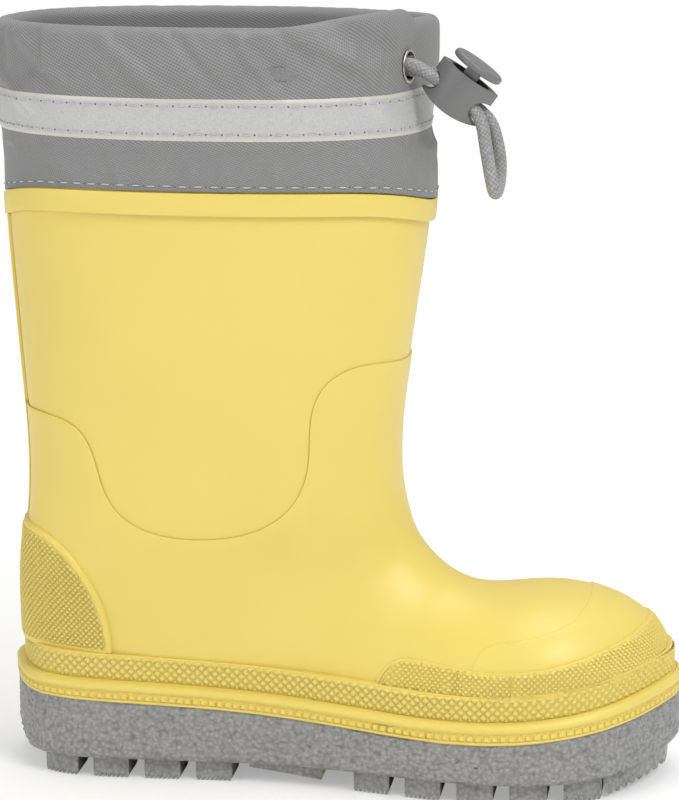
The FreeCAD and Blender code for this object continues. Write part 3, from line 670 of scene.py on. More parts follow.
# ---- stage ----
# ---- studio: places and sizes in metres, power in watts ----
FLOOR_SIZE = 6
PAPER_NEAR, PAPER_FAR = 0.12, 0.45        # distances over which the paper runs out into white
PAPER_LEAST = 0.35                        # share of white close to the boot
SKY_ON_BOOT, SKY_SEEN = 0.46, 1.0
SOFTBOXES = (("key_softbox", (1.0, -1.0, 1.3), 0.8, 17.5),
             ("fill_softbox", (-1.3, -1.0, 0.7), 1.0, 8.0),
             ("top_softbox", (0.1, 0.2, 1.7), 1.0, 11.5))
SOFTBOX_AIM = Vector((0, 0, 0.1))
CAMERA_AT, CAMERA_AIM = (0.1318, -0.9408, 0.300), Vector((-0.0004, 0, 0.112))
CAMERA_LENS, CAMERA_SENSOR = 145.8, 36    # millimetres


class BOOT_OT_stage(bpy.types.Operator):
    """Adds the pale floor, the soft lights and the camera"""
    bl_idname = "boot.stage"
    bl_label = "Stage"

    def execute(self, context):
        scene = context.scene
        scene.view_settings.view_transform = "Standard"
        deselect()
        bpy.ops.mesh.primitive_plane_add(size=FLOOR_SIZE, location=(0, 0, -0.2 * MM))
        floor = context.view_layer.objects.active
        floor.name = "studio_floor"
        bpy.ops.object.transform_apply(location=True)
        paper, _, _ = started("studio_paper", Base_Color=linear("fbfbfb"), Roughness=0.9,
                              Specular_IOR_Level=0.1)
        self.lighten(paper)
        floor.data.materials.append(paper)

        world = bpy.data.worlds.new("studio")
        scene.world = world
        world.use_nodes = True
        sky = world.node_tree.nodes["Background"]
        sky.inputs["Color"].default_value = linear("ffffff")
        seen = add(world.node_tree, "ShaderNodeLightPath").outputs["Is Camera Ray"]
        strength = add(world.node_tree, "ShaderNodeMapRange", {"Value": seen, "To Min": SKY_ON_BOOT,
                                                                      "To Max": SKY_SEEN})
        world.node_tree.links.new(strength.outputs[0], sky.inputs["Strength"])

        for name, at, size, power in SOFTBOXES:
            deselect()
            bpy.ops.object.light_add(type="AREA", location=at)
            light = context.view_layer.objects.active
            light.name = name
            light.data.size = size
            light.data.energy = power
            light.rotation_euler = (SOFTBOX_AIM - Vector(at)).to_track_quat("-Z", "Y").to_euler()

        deselect()
        bpy.ops.object.camera_add(location=CAMERA_AT)
        camera = context.view_layer.objects.active
        camera.name = "studio_camera"
        aim = CAMERA_AIM - camera.location
        camera.rotation_euler = aim.to_track_quat("-Z", "Y").to_euler()
        camera.data.lens = CAMERA_LENS
        camera.data.sensor_width = CAMERA_SENSOR
        camera.data.clip_start = 0.01
        scene.camera = camera
        return {"FINISHED"}

    def lighten(self, paper):
        """Lets the paper run out into the white of the studio away from the boot."""
        tree = paper.node_tree
        away = add(tree, "ShaderNodeVectorMath", {0: add(tree, "ShaderNodeTexCoord").outputs["Object"]},
                   operation="LENGTH").outputs["Value"]
        share = add(tree, "ShaderNodeMapRange", {"Value": away, "From Min": PAPER_NEAR, "From Max": PAPER_FAR,
                                                 "To Min": PAPER_LEAST, "To Max": 1.0})
        seen = add(tree, "ShaderNodeLightPath").outputs["Is Camera Ray"]
        factor = add(tree, "ShaderNodeMath", {0: share.outputs[0], 1: seen}, operation="MULTIPLY")
        white = add(tree, "ShaderNodeEmission", {"Color": linear("ffffff"), "Strength": 1.0})
        blend = add(tree, "ShaderNodeMixShader", {0: factor.outputs[0]})
        tree.links.new(tree.nodes["Principled BSDF"].outputs[0], blend.inputs[1])
        tree.links.new(white.outputs[0], blend.inputs[2])
        tree.links.new(blend.outputs[0], tree.nodes["Material Output"].inputs["Surface"])


# ---- drawcord ----
def route_points(name, route, order=3):
    """Points along the smooth NURBS line whose control points are the route."""
    line = bpy.data.curves.new(name, "CURVE")
    line.dimensions = "3D"
    line.resolution_u = 16
    spline = line.splines.new("NURBS")
    spline.points.add(len(route) - 1)
    for point, place in zip(spline.points, route):
        point.co = (*place, 1)
    spline.order_u = order
    spline.use_endpoint_u = True
    holder = bpy.data.objects.new(name, line)
    bpy.context.collection.objects.link(holder)
    mesh = bpy.data.meshes.new_from_object(holder)
    points = [tuple(v.co) for v in mesh.vertices]
    bpy.data.objects.remove(holder)
    bpy.data.meshes.remove(mesh)
    return np.array(points)


def evenly(points, step):
    """Points a step apart along a line, and its length."""
    marks = np.concatenate(([0], np.cumsum(np.linalg.norm(np.diff(points, axis=0), axis=1))))
    count = int(marks[-1] / step) + 1
    at = np.linspace(0, marks[-1], count)
    return np.stack([np.interp(at, marks, points[:, k]) for k in range(3)], axis=1), marks[-1]


def side_vectors(points):
    """Two directions across a line at each of its points, that don't twist along it."""
    ahead = np.gradient(points, axis=0)
    ahead /= np.linalg.norm(ahead, axis=1, keepdims=True)
    side = np.cross(ahead[0], (0, 0, 1.0))
    sides = []
    for direction in ahead:
        side = side - direction * side.dot(direction)
        side = side / np.linalg.norm(side)
        sides.append(side)
    sides = np.array(sides)
    return sides, np.cross(ahead, sides)


class BOOT_OT_drawcord(bpy.types.Operator):
    """Braids the drawcord along its route, from the eyelet through the lock and back"""
    bl_idname = "boot.drawcord"
    bl_label = "Drawcord"

    def execute(self, context):
        sizes, colours = context.scene.boot_sizes, palette()
        points, length = evenly(route_points("drawcord_route", CORD_ROUTE), 0.3 * MM)
        first, second = side_vectors(points)
        radius = sizes.cord_diameter / 2
        columns = len(points) - 1

        def braid(u, v):
            i = np.rint(u * columns).astype(int)
            turn = 2 * math.pi * v
            lengthwise, round_it = u * length / BRAID_LAY * BRAID_YARNS / 2, v * BRAID_YARNS / 2
            left, right = lengthwise + round_it, lengthwise - round_it
            over = (np.floor(left) + np.floor(right)) % 2
            across = np.where(over < 1, left % 1, right % 1)
            lift = np.sqrt(np.abs(np.sin(math.pi * (left % 1)) * np.sin(math.pi * (right % 1))))
            r = radius * (0.94 + 0.08 * lift + 0.01 * across)
            return (points[i] + (first[i] * np.cos(turn)[:, None] + second[i] * np.sin(turn)[:, None])
                    * r[:, None])

        cord = grid("drawcord", columns, 64, braid)
        activate(cord)
        bpy.ops.object.mode_set(mode="EDIT")
        bpy.ops.mesh.select_all(action="SELECT")
        bpy.ops.mesh.remove_doubles(threshold=0.01 * MM)
        bpy.ops.mesh.select_all(action="DESELECT")
        bpy.ops.mesh.select_non_manifold()
        bpy.ops.mesh.edge_face_add()
        bpy.ops.object.mode_set(mode="OBJECT")
        face_outwards(cord)
        smooth(cord, 60)
        clothe(cord, finish("braid", lambda: polyester_braid(
            colours["cord_light"], colours["cord_dark"], length)))
        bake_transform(cord)
        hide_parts("drawcord_loop")
        NODES["drawcord_hem"].data.materials.clear()
        NODES["drawcord_hem"].data.materials.append(FINISHES["braid"])
        return {"FINISHED"}


# ---- plain rubber pieces that keep their CAD shape ----
# a patch's border: millimetres off the patch, share of its thickness, millimetres added
HEEL_BORDER = ((0.5, 0, -0.08), (0.3, 0.3, 0), (0.15, 0.7, 0.1), (-0.2, 1, 0.22), (-0.6, 1, 0.34),
               (-1.2, 1, 0.36), (-1.6, 1, 0.28), (-1.9, 1, 0.02), (-2.1, 1, -0.2))
TOE_BORDER = ((0.4, 0, -0.08), (0.25, 0.3, 0), (0.1, 0.75, 0.02), (-0.2, 1, 0.08), (-0.6, 1, 0.10),
              (-0.95, 1, 0.02), (-1.1, 1, -0.15))


class BOOT_OT_rubber_shell(bpy.types.Operator):
    """Smooths the upper and gives its overlays their soft moulded edges"""
    bl_idname = "boot.rubber_shell"
    bl_label = "Upper and overlays"

    def execute(self, context):
        for node, width in (("upper", 0), ("ankle_overlay", 0.45), ("toe_cap", 0.6), ("back_strip", 0.3),
                            ("collar_band", 0.5)):
            piece = merged_copy("rubber_" + node, node)
            if width:
                modify(piece, "BEVEL", width=width * MM, segments=3, limit_method="ANGLE",
                       angle_limit=math.radians(50), use_clamp_overlap=True)
            smooth(piece, 32)
            clothe(piece, rubber())
            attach(piece, "boot")
            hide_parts(node)
        return {"FINISHED"}


# ---- knurled bands ----
KNURL_CELLS = 6           # points of the skin along one diamond
GROOVE = 0.27             # share of a diamond that its groove's slope takes


def knurl_skin(name, wall, ring, marks, low, rows, pitch, height, inside, before=6 * MM, reach=14 * MM):
    """Pillowed diamonds over a wall; low gives the height of the lowest row at each mark, and
    inside(s, z, places)
    how far the diamonds stand, 0 to 1."""
    columns = len(marks)
    vertices, keep = [], []
    for row in range(rows + 1):
        z = low + row * pitch / KNURL_CELLS
        hits, normal = cast(wall, ring, marks, z, before, reach)
        fade = inside(marks, z, hits)
        groove = np.ones(columns)
        for slant in (1, -1):
            line = marks / pitch + slant * row / KNURL_CELLS
            groove = np.minimum(groove, np.abs(line - np.rint(line)) / GROOVE)
        lift = height * np.sin(math.pi / 2 * np.clip(groove, 0, 1)) * fade - 0.5 * MM * (1 - fade)
        vertices.append(hits + np.column_stack([normal * lift[:, None], np.zeros(columns)]))
        keep.append(~np.isnan(hits[:, 0]) & (fade > 0))
    keep = np.array(keep)
    number = np.full(keep.shape, -1)
    number[keep] = np.arange(keep.sum())
    faces = []
    for row in range(rows):
        for column in range(columns if ring_closes(marks, ring) else columns - 1):
            after = (column + 1) % columns
            corners = (number[row, column], number[row, after],
                       number[row + 1, after], number[row + 1, column])
            if min(corners) >= 0:
                faces.append([int(corner) for corner in corners])
    data = bpy.data.meshes.new(name)
    data.from_pydata(np.array(vertices)[keep], [], faces)
    piece = bpy.data.objects.new(name, data)
    bpy.context.collection.objects.link(piece)
    smooth(piece, 60)
    return piece


def ring_closes(marks, ring):
    return marks[-1] + 2 * (marks[1] - marks[0]) > ring.length


def even_marks(length, pitch):
    """Lengths round a ring for a whole number of diamonds, and the diamonds' exact width."""
    count = round(length / pitch)
    return np.arange(count * KNURL_CELLS) / (count * KNURL_CELLS) * length, length / count


class BOOT_OT_knurled_bands(bpy.types.Operator):
    """Covers the foxing band, heel counter and toe bumper with moulded diamonds"""
    bl_idname = "boot.knurled_bands"
    bl_label = "Knurled bands"

    def execute(self, context):
        sizes = context.scene.boot_sizes
        for node in ("foxing_band", "heel_counter", "toe_bumper"):
            piece = merged_copy("rubber_" + node, node)
            modify(piece, "BEVEL", width=0.25 * MM, segments=2, limit_method="ANGLE",
                   angle_limit=math.radians(50), use_clamp_overlap=True)
            smooth(piece, 32)
            clothe(piece, rubber())
            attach(piece, "boot")
            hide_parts(node)
        self.foxing(sizes)
        self.patch("heel_counter", sizes.heel_pitch, sizes.knurl_height * 0.9, 1.3 * MM, HEEL_BORDER)
        self.patch("toe_bumper", sizes.toe_pitch, sizes.knurl_height * 0.8, 0.5 * MM, TOE_BORDER)
        return {"FINISHED"}

    def dress(self, piece):
        clothe(piece, rubber())
        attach(piece, "boot")

    def foxing(self, sizes):
        wall = Wall(NODES["foxing_band"])
        low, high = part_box("foxing_band")
        ring = Ring(wall, (low[2] + high[2]) / 2 - 1 * MM, SOLE_SPINE)
        s, bottom, top = band_limits(wall, ring, low[2], high[2])
        marks, pitch = even_marks(ring.length, sizes.foxing_pitch)
        margin = 0.3 * MM
        depth = np.nanmedian(top - bottom) - 2 * margin
        rows = round(depth / pitch * KNURL_CELLS)
        lower = along(marks, s, bottom, ring.length) + margin

        def inside(at, z, _):
            room = np.minimum(z - along(at, s, bottom, ring.length), along(at, s, top, ring.length) - z)
            return np.clip(room / (0.8 * MM), 0, 1)

        self.dress(knurl_skin("foxing_knurl", wall, ring, marks, lower, rows, pitch,
                              sizes.knurl_height, inside))

    def patch(self, node, pitch, height, margin, border):
        wall = Wall(NODES[node])
        shell = Wall(NODES["upper"], NODES[node])
        low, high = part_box(node)
        ring = Ring(shell, low[2] + 8 * MM, SOLE_SPINE)
        marks, pitch = even_marks(ring.length, pitch)
        xy, _ = ring.at(marks)
        near = (xy[:, 0] > low[0] - 4 * MM) & (xy[:, 0] < high[0] + 4 * MM)
        if node == "heel_counter":
            marks = np.roll(marks, len(marks) // 2)
            near = np.roll(near, len(near) // 2)
            marks = np.where(marks < marks[0], marks + ring.length, marks)
        marks = marks[near]
        rows = round((high[2] - low[2]) / pitch * KNURL_CELLS)

        loops = ribbon(f"rubber_{node}_border", node, border)
        rim = np.concatenate([places for places, _ in loops])
        near_rim = kdtree.KDTree(len(rim))
        for index, place in enumerate(rim):
            near_rim.insert(place, index)
        near_rim.balance()

        def inside(_, __, hits):
            away = np.array([0 if math.isnan(hit[0]) else near_rim.find(hit)[2] for hit in hits])
            return np.clip((away - margin) / (0.5 * MM), 0, 1)

        skin = knurl_skin(node + "_knurl", wall, ring, marks,
                          np.full(len(marks), low[2]), rows, pitch, height,
                          inside, 12 * MM, 34 * MM)
        self.dress(skin)


# ---- welt and outsole ----
# share of the welt's height, millimetres proud of its wall, millimetres that a rib adds
WELT_PROFILE = (
    (0.00, 0.00, 0.0), (0.02, 0.35, 0.0), (0.12, 0.40, 0.0), (0.15, 0.05, 0.0), (0.18, 0.05, 0.15),
    (0.23, 0.05, 0.75), (0.42, 0.05, 0.75), (0.46, 0.05, 0.15), (0.49, 0.00, 0.0), (0.54, 0.20, 0.0),
    (0.60, 0.62, 0.0), (0.70, 0.90, 0.0), (0.80, 0.92, 0.0), (0.90, 0.62, 0.0), (0.97, 0.10, 0.0),
    (1.02, -0.70, 0.0), (1.06, -1.60, 0.0), (1.08, -2.60, 0.0), (1.08, -3.40, 0.0))


RIB_COLUMNS = 8                # columns of the skin to one rib
RIB_GAP, RIB_SLOPE = 0.3, 6    # share of the pitch between two ribs, and how steep a rib's sides are
WELT_CLEAR = 0.3               # millimetres that the skin stands off the welt's own wall


class BOOT_OT_welt(bpy.types.Operator):
    """Runs the welt's bead, its small ribs and its lip round the sole"""
    bl_idname = "boot.welt"
    bl_label = "Welt"

    def execute(self, context):
        sizes = context.scene.boot_sizes
        low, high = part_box("welt")
        core = merged_copy("rubber_welt", "welt")
        smooth(core, 32)
        clothe(core, rubber())
        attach(core, "boot")
        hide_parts("welt")
        wall = Wall(NODES["welt"])
        ring = Ring(Wall(NODES["outsole"]), low[2] - 3 * MM, SOLE_SPINE)
        s, bottom, top = band_limits(wall, ring, low[2] - MM, high[2] + MM)
        ribs = round(ring.length / sizes.rib_pitch)
        columns = ribs * RIB_COLUMNS
        heights, proud, rib = np.array(WELT_PROFILE).T
        bottom, top = evened(bottom), evened(top)

        def lay(u, v):
            at = np.rint(u * columns) / columns * ring.length
            row = np.rint(v * (len(heights) - 1)).astype(int)
            xy, normal = ring.at(at)
            foot = along(at, s, bottom, ring.length)
            head = along(at, s, top, ring.length)
            wave = np.clip((2 * np.abs(np.mod(at / ring.length * ribs, 1) - 0.5) - RIB_GAP) * RIB_SLOPE, 0, 1)
            out = (proud[row] + rib[row] * wave + WELT_CLEAR) * MM
            return np.column_stack([xy + normal * out[:, None], foot + (head - foot) * heights[row]])

        skin = grid("welt_bead_and_ribs", columns, len(heights) - 1, lay, closed=True)
        smooth(skin, 40)
        clothe(skin, rubber())
        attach(skin, "boot")
        return {"FINISHED"}


class BOOT_OT_outsole(bpy.types.Operator):
    """Grains the outsole's side wall and keeps its serrated tread"""
    bl_idname = "boot.outsole"
    bl_label = "Outsole"

    def execute(self, context):
        colours = palette()
        core = merged_copy("outsole_tread", "outsole")
        smooth(core, 30)
        material = finish("sole", lambda: sole_rubber(colours["sole"]))
        clothe(core, material)
        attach(core, "boot")
        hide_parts("outsole")
        wall = Wall(NODES["outsole"])
        ring = Ring(wall, SOLE_LOW[2] + 14 * MM, SOLE_SPINE)
        low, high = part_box("outsole")
        count = 240
        s = np.arange(count) / count * ring.length
        xy, _ = ring.at(s)
        bottom, top = np.full(count, np.nan), np.full(count, np.nan)
        for level in np.arange(low[2] + 5 * MM, high[2], 0.25 * MM):
            hits, _ = cast(wall, ring, s, np.full(count, level), reach=7.2 * MM)
            found = ~np.isnan(hits[:, 0])
            bottom = np.where(found & np.isnan(bottom), level, bottom)
            top = np.where(found, level, top)
        columns = int(ring.length / (0.5 * MM))
        rows = 40

        def lay(u, v):
            at = u * ring.length
            foot = along(at, s, bottom, ring.length) + 0.1 * MM
            head = along(at, s, top, ring.length) - 0.1 * MM
            place, normal = ring.at(at)
            level = foot + (head - foot) * v
            edge = np.clip(np.minimum(v, 1 - v) * 14, 0, 1)
            lift = np.empty(len(at))
            for k in range(len(at)):
                here = Vector((place[k][0], place[k][1], level[k]))
                warped = here + noise.noise_vector(here * per_mm(2.0)) * 0.5 * MM
                lift[k] = 0.75 * max(0.0, 1 - 1.5 * noise.voronoi(warped * per_mm(1.45))[0][0] ** 2)
            out = (lift * edge - 0.25 * (1 - edge)) * MM
            return np.column_stack([place + normal * out[:, None], level])

        skin = grid("outsole_grain", columns, rows, lay, closed=True)
        smooth(skin, 60)
        clothe(skin, material)
        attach(skin, "boot")
        return {"FINISHED"}


# ---- cuff ----
CUFF_COLUMNS = 260
FOLD_SCALE = 1.9
CUFF_ROWS_UP, CUFF_ROWS_TURN, CUFF_ROWS_DOWN = 30, 6, 13
PANEL_FROM, PANEL_BLEND = 16.5 * MM, 2.5 * MM     # where the flat front panel starts, from heel to toe
PANEL_FOOT, PANEL_RISE = 22 * MM, 10 * MM         # and how high above the cuff's lower edge
LOW_FOLDS, LOW_INWARD = 16 * MM, 0.15 * MM        # below this height a fold goes inward no further than this
HEM_PINNED, HEM_RELEASE = 8 * MM, 7 * MM          # the fabric is held up to here and free this much higher
RIM_PINNED, RIM_BLEND, RIM_HOLD = 49.5 * MM, 2 * MM, 0.5
TAPE_FROM, TAPE_TO, TAPE_HOLD = 19.5 * MM, 33.5 * MM, 0.35
CLOTH_FRAMES = 22
CLOTH_SHRINK = -0.045         # negative: the cloth grows, and buckles between its seams
WRINKLE_MOST = 2.0 * MM
EYELET_ZONE, EYELET_BACK = 9 * MM, 3 * MM         # fabric this close to the eyelet is fitted round it
TUNNEL_DEPTH = 5.8 * MM       # face of the cuff to the inside of its drawcord tunnel
TUNNEL_FLOOR = 29.5 * MM      # stitch line of the tunnel above the cuff's lower edge

# folds of the fabric: start and end (x, height above the cuff's lower edge), half width, depth,
# in millimetres; FOLD_SCALE deepens them all
OUTER_FOLDS = (
    ((-93, 33), (-84, 25), 1.6, 0.9), ((-88, 46), (-74, 36), 3.0, 0.8), ((-62, 48), (-40, 30), 3.5, 0.9),
    ((-42, 50), (-30, 36), 2.2, -0.8), ((-24, 50), (-12, 33), 2.6, 0.9), ((-3, 48), (17, 35), 2.8, 1.3),
    ((2, 51), (16, 44), 2.4, -1.1), ((-12, 51), (-2, 40), 2.0, -0.9), ((12, 30), (18, 26), 1.6, 0.8),
    ((-60, 12), (-57, 2), 1.6, 0.7), ((-44, 12), (-43, 2), 1.5, -0.7), ((-37, 11), (-37, 2), 1.6, 0.7),
    ((-27, 12), (-28, 2), 1.5, 0.6), ((-20, 11), (-20, 2), 1.5, -0.6), ((-13, 12), (-13, 2), 1.6, 0.7),
    ((-4, 11), (-5, 2), 1.5, 0.6), ((10, 13), (14, 3), 1.8, 0.8), ((-80, 14), (-72, 5), 2.4, 0.7))
INNER_FOLDS = (
    ((-86, 45), (-70, 34), 3.0, 0.9), ((-66, 50), (-50, 32), 3.0, -0.9), ((-40, 50), (-34, 30), 2.6, 1.0),
    ((-22, 50), (-8, 34), 2.8, 0.9), ((-2, 50), (12, 36), 2.6, -1.0), ((-70, 12), (-66, 2), 1.8, 0.7),
    ((-50, 13), (-52, 2), 1.6, 0.7), ((-30, 12), (-31, 2), 1.6, -0.7), ((-14, 12), (-12, 2), 1.6, 0.7),
    ((4, 12), (2, 2), 1.6, 0.7))


def fold_lift(x, z, folds):
    """How far folds lift the fabric at x and height z, in metres."""
    lift = np.zeros(len(x))
    for start, end, width, depth in folds:
        a, b = np.array(start) * MM, np.array(end) * MM
        run = b - a
        share = np.clip(((x - a[0]) * run[0] + (z - a[1]) * run[1]) / run.dot(run), -0.3, 1.3)
        away = np.hypot(x - a[0] - share * run[0], z - a[1] - share * run[1])
        taper = np.clip(1 - np.abs(share - 0.5) * 1.25, 0, 1)
        lift += depth * MM * taper * np.exp(-(away / (width * MM)) ** 2)
    return lift


def cuff_profile():
    """Height above the cuff's lower edge and distance inward, up the face, over the rim and down inside."""
    height = CUFF_HIGH[2] - CUFF_LOW[2]
    turn = TUNNEL_DEPTH / 2
    rows = [(height - turn) * k / CUFF_ROWS_UP for k in range(CUFF_ROWS_UP + 1)]
    profile = [(z, 0.0) for z in rows]
    for k in range(1, CUFF_ROWS_TURN + 1):
        angle = math.pi * k / (CUFF_ROWS_TURN + 1)
        profile.append((height - turn + turn * math.sin(angle), turn - turn * math.cos(angle)))
    for k in range(CUFF_ROWS_DOWN + 1):
        share = k / CUFF_ROWS_DOWN
        depth = TUNNEL_DEPTH if share < 0.8 else TUNNEL_DEPTH * (1 - (share - 0.8) * 3.4)
        profile.append((height - turn - (height - turn - TUNNEL_FLOOR) * share, depth))
    return np.array(profile)


def hem_rise(y, height):
    """How far the fabric is lifted at a distance y from the boot's middle and a height on the cuff."""
    share = np.clip(np.abs(y) / HEM_HALF_WIDTH, 0, 1)
    return HEM_RISE * (1 - np.cos(math.pi * share)) / 2 * np.clip(1 - height / HEM_BLEND, 0, 1)


def rim_rise(xy, height):
    """How far the rim is lifted beside the eyelet, on the outer side."""
    share = np.clip((xy[:, 0] + 15 * MM) / (31 * MM), 0, 1) * np.clip(-xy[:, 1] / (10 * MM), 0, 1)
    return RIM_RISE * share * share * (3 - 2 * share) * np.clip((height - 36 * MM) / (14 * MM), 0, 1)


def disc_axis(disc):
    """The direction that a flat disc faces, towards the toe."""
    points = read_points(disc)
    _, directions = np.linalg.eigh(np.cov((points - points.mean(axis=0)).T))
    axis = Vector(directions[:, 0])
    return axis if axis.x > 0 else -axis


def round_eyelet(place):
    return (place - EYELET_AT).length < 7 * MM


def cuff_base():
    """The unwrinkled cuff: points by row and column, outward normals, heights above the lower edge."""
    wall = Wall(NODES["cuff"])
    profile = cuff_profile()
    rings = {}
    points, normals = [], []
    for z, depth in profile:
        level = CUFF_LOW[2] + min(max(z, HEM_RISE + 0.8 * MM), CUFF_HIGH[2] - CUFF_LOW[2] - 0.4 * MM)
        key = round(level / MM, 1)
        if key not in rings:
            rings[key] = Ring(wall, key * MM, CUFF_SPINE, count=560, skip=round_eyelet)
        ring = rings[key]
        marks = np.arange(CUFF_COLUMNS) / CUFF_COLUMNS * ring.length
        xy, normal = ring.at(marks)
        xy = xy - normal * depth
        points.append(np.column_stack([xy, CUFF_LOW[2] + z + hem_rise(xy[:, 1], z) + rim_rise(xy, z)]))
        normals.append(np.column_stack([normal, np.zeros(CUFF_COLUMNS)]))
    return np.array(points), np.array(normals), profile


def on_front_panel(points):
    """1 on the flat panel round the eyelet, 0 away from it."""
    x, z = points[..., 0], points[..., 2]
    across = np.clip((x - PANEL_FROM) / PANEL_BLEND, 0, 1)
    up = np.clip((z - CUFF_LOW[2] - PANEL_FOOT) / PANEL_RISE, 0, 1)
    return across * up


class BOOT_OT_cuff(bpy.types.Operator):
    """Sews the fabric cuff: its outer face, turned rim and drawcord tunnel, wrinkled by a cloth simulation"""
    bl_idname = "boot.cuff"
    bl_label = "Fabric cuff"

    def execute(self, context):
        points, normals, profile = cuff_base()
        rows = len(profile) - 1
        height = np.repeat(profile[:, :1], CUFF_COLUMNS, axis=1)
        outside = (np.arange(len(profile)) <= CUFF_ROWS_UP + 2)[:, None]
        outer_side = points[..., 1] < 0
        lift = np.where(outer_side, fold_lift(points[..., 0].ravel(), height.ravel(), OUTER_FOLDS)
                        .reshape(height.shape), fold_lift(points[..., 0].ravel(), height.ravel(), INNER_FOLDS)
                        .reshape(height.shape))
        lift = FOLD_SCALE * lift * outside * (1 - on_front_panel(points))
        lift = np.where(height < LOW_FOLDS, np.maximum(lift, -LOW_INWARD), lift)
        points = points + normals * lift[..., None]

        def lay(u, v):
            column = np.rint(u * CUFF_COLUMNS).astype(int) % CUFF_COLUMNS
            row = np.rint(v * rows).astype(int)
            return points[row, column]

        cuff = grid("cuff_fabric", CUFF_COLUMNS, rows, lay, closed=True)
        self.wrinkle(cuff, points)
        self.open_eyelet(cuff)
        modify(cuff, "SUBSURF", levels=1, render_levels=1)
        modify(cuff, "SOLIDIFY", thickness=context.scene.boot_sizes.fabric_thickness, offset=-1)
        smooth(cuff, 60)
        around = 0.36
        clothe(cuff, finish("fabric", lambda: woven_nylon(palette()["fabric"], around, 0.085)))
        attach(cuff, "boot")
        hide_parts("cuff")
        return {"FINISHED"}

    def open_eyelet(self, cuff):
        """Cuts the round hole that the eyelet is set in."""
        activate(cuff)
        bpy.ops.object.mode_set(mode="EDIT")
        mesh = bmesh.from_edit_mesh(cuff.data)
        axis = disc_axis(NODES["eyelet_washer"])

        def spoke(v):
            away = v.co - EYELET_AT
            return away - axis * away.dot(axis)

        near = [v for v in mesh.verts
                if (v.co - EYELET_AT).length < EYELET_ZONE and (v.co - EYELET_AT).dot(axis) > -EYELET_BACK]
        inner = [v for v in near if spoke(v).length < BARREL - 1.5 * MM]
        near = [v for v in near if v not in inner]
        bmesh.ops.delete(mesh, geom=inner, context="VERTS")
        for v in near:
            target = BARREL if v.is_boundary else BARREL + 0.7 * MM
            if v.is_boundary or spoke(v).length < target:
                v.co += spoke(v).normalized() * (target - spoke(v).length)
        bmesh.update_edit_mesh(cuff.data)
        bpy.ops.object.mode_set(mode="OBJECT")

    def wrinkle(self, cuff, points):
        """Lets the fabric, cut a little long, buckle between its seams."""
        start = read_points(cuff)
        z = start[:, 2] - CUFF_LOW[2]
        laid = kdtree.KDTree(points.size // 3)
        for index, place in enumerate(points.reshape(-1, 3)):
            laid.insert(place, index)
        laid.balance()
        row = np.array([laid.find(place)[1] // CUFF_COLUMNS for place in start])
        pin = cuff.vertex_groups.new(name="seams")
        held = np.clip(1 - (z - hem_rise(start[:, 1], 2 * MM) - HEM_PINNED) / HEM_RELEASE, 0, 1)
        rim = np.clip((z - RIM_PINNED) / RIM_BLEND, 0, 1)
        inside = np.clip(row - CUFF_ROWS_UP - CUFF_ROWS_TURN / 2, 0, 1)
        panel = on_front_panel(start)
        tape = np.where((z > TAPE_FROM) & (z < TAPE_TO), TAPE_HOLD, 0.0)
        weight = np.clip(np.maximum.reduce([held, rim * RIM_HOLD, inside, panel, tape]), 0, 1)
        for index, value in enumerate(weight):
            pin.add([index], float(value), "REPLACE")
        modifier = cuff.modifiers.new("Cloth", "CLOTH")
        cloth = modifier.settings
        cloth.quality = 6
        cloth.mass = 0.15
        cloth.tension_stiffness = cloth.compression_stiffness = 20
        cloth.shear_stiffness = 6
        cloth.bending_stiffness = 0.3
        cloth.shrink_min = cloth.shrink_max = CLOTH_SHRINK
        cloth.vertex_group_mass = "seams"
        cloth.pin_stiffness = 2
        cloth.effector_weights.gravity = 0.2
        modifier.point_cache.frame_start, modifier.point_cache.frame_end = 1, CLOTH_FRAMES
        scene = bpy.context.scene
        for moment in range(1, CLOTH_FRAMES + 1):
            scene.frame_set(moment)
        activate(cuff)
        bpy.ops.object.modifier_apply(modifier="Cloth")
        scene.frame_set(1)
        end = read_points(cuff)
        shift = end - start
        size = np.linalg.norm(shift, axis=1, keepdims=True)
        shift = shift * np.minimum(1, WRINKLE_MOST / np.maximum(size, 1e-9))
        write_points(cuff, start + shift * (1 - weight[:, None]))


# ---- tape and seams laid on the finished cuff ----
class CuffFace:
    """The finished cuff's outer face, found by level rays round its plain outline."""

    def __init__(self):
        self.wall = Wall(bpy.data.objects["cuff_fabric"])
        self.plain = Wall(NODES["cuff"])
        self.rings = {}

    def place(self, share, height, out):
        """Points at shares of the way round, at a height above the cuff's lower edge, out from its face."""
        key = round(max(height, HEM_RISE + 0.8 * MM) / MM, 1)
        if key not in self.rings:
            self.rings[key] = Ring(self.plain, CUFF_LOW[2] + key * MM, CUFF_SPINE, count=560)
        ring = self.rings[key]
        s = np.asarray(share) * ring.length
        xy, _ = ring.at(s)
        z = CUFF_LOW[2] + height + hem_rise(xy[:, 1], height)
        hits, normal = cast(self.wall, ring, s, z)
        level = np.column_stack([xy, z])
        hits = np.where(np.isnan(hits), level, hits)
        return hits + np.column_stack([normal * out, np.zeros(len(s))]), normal, ring.length


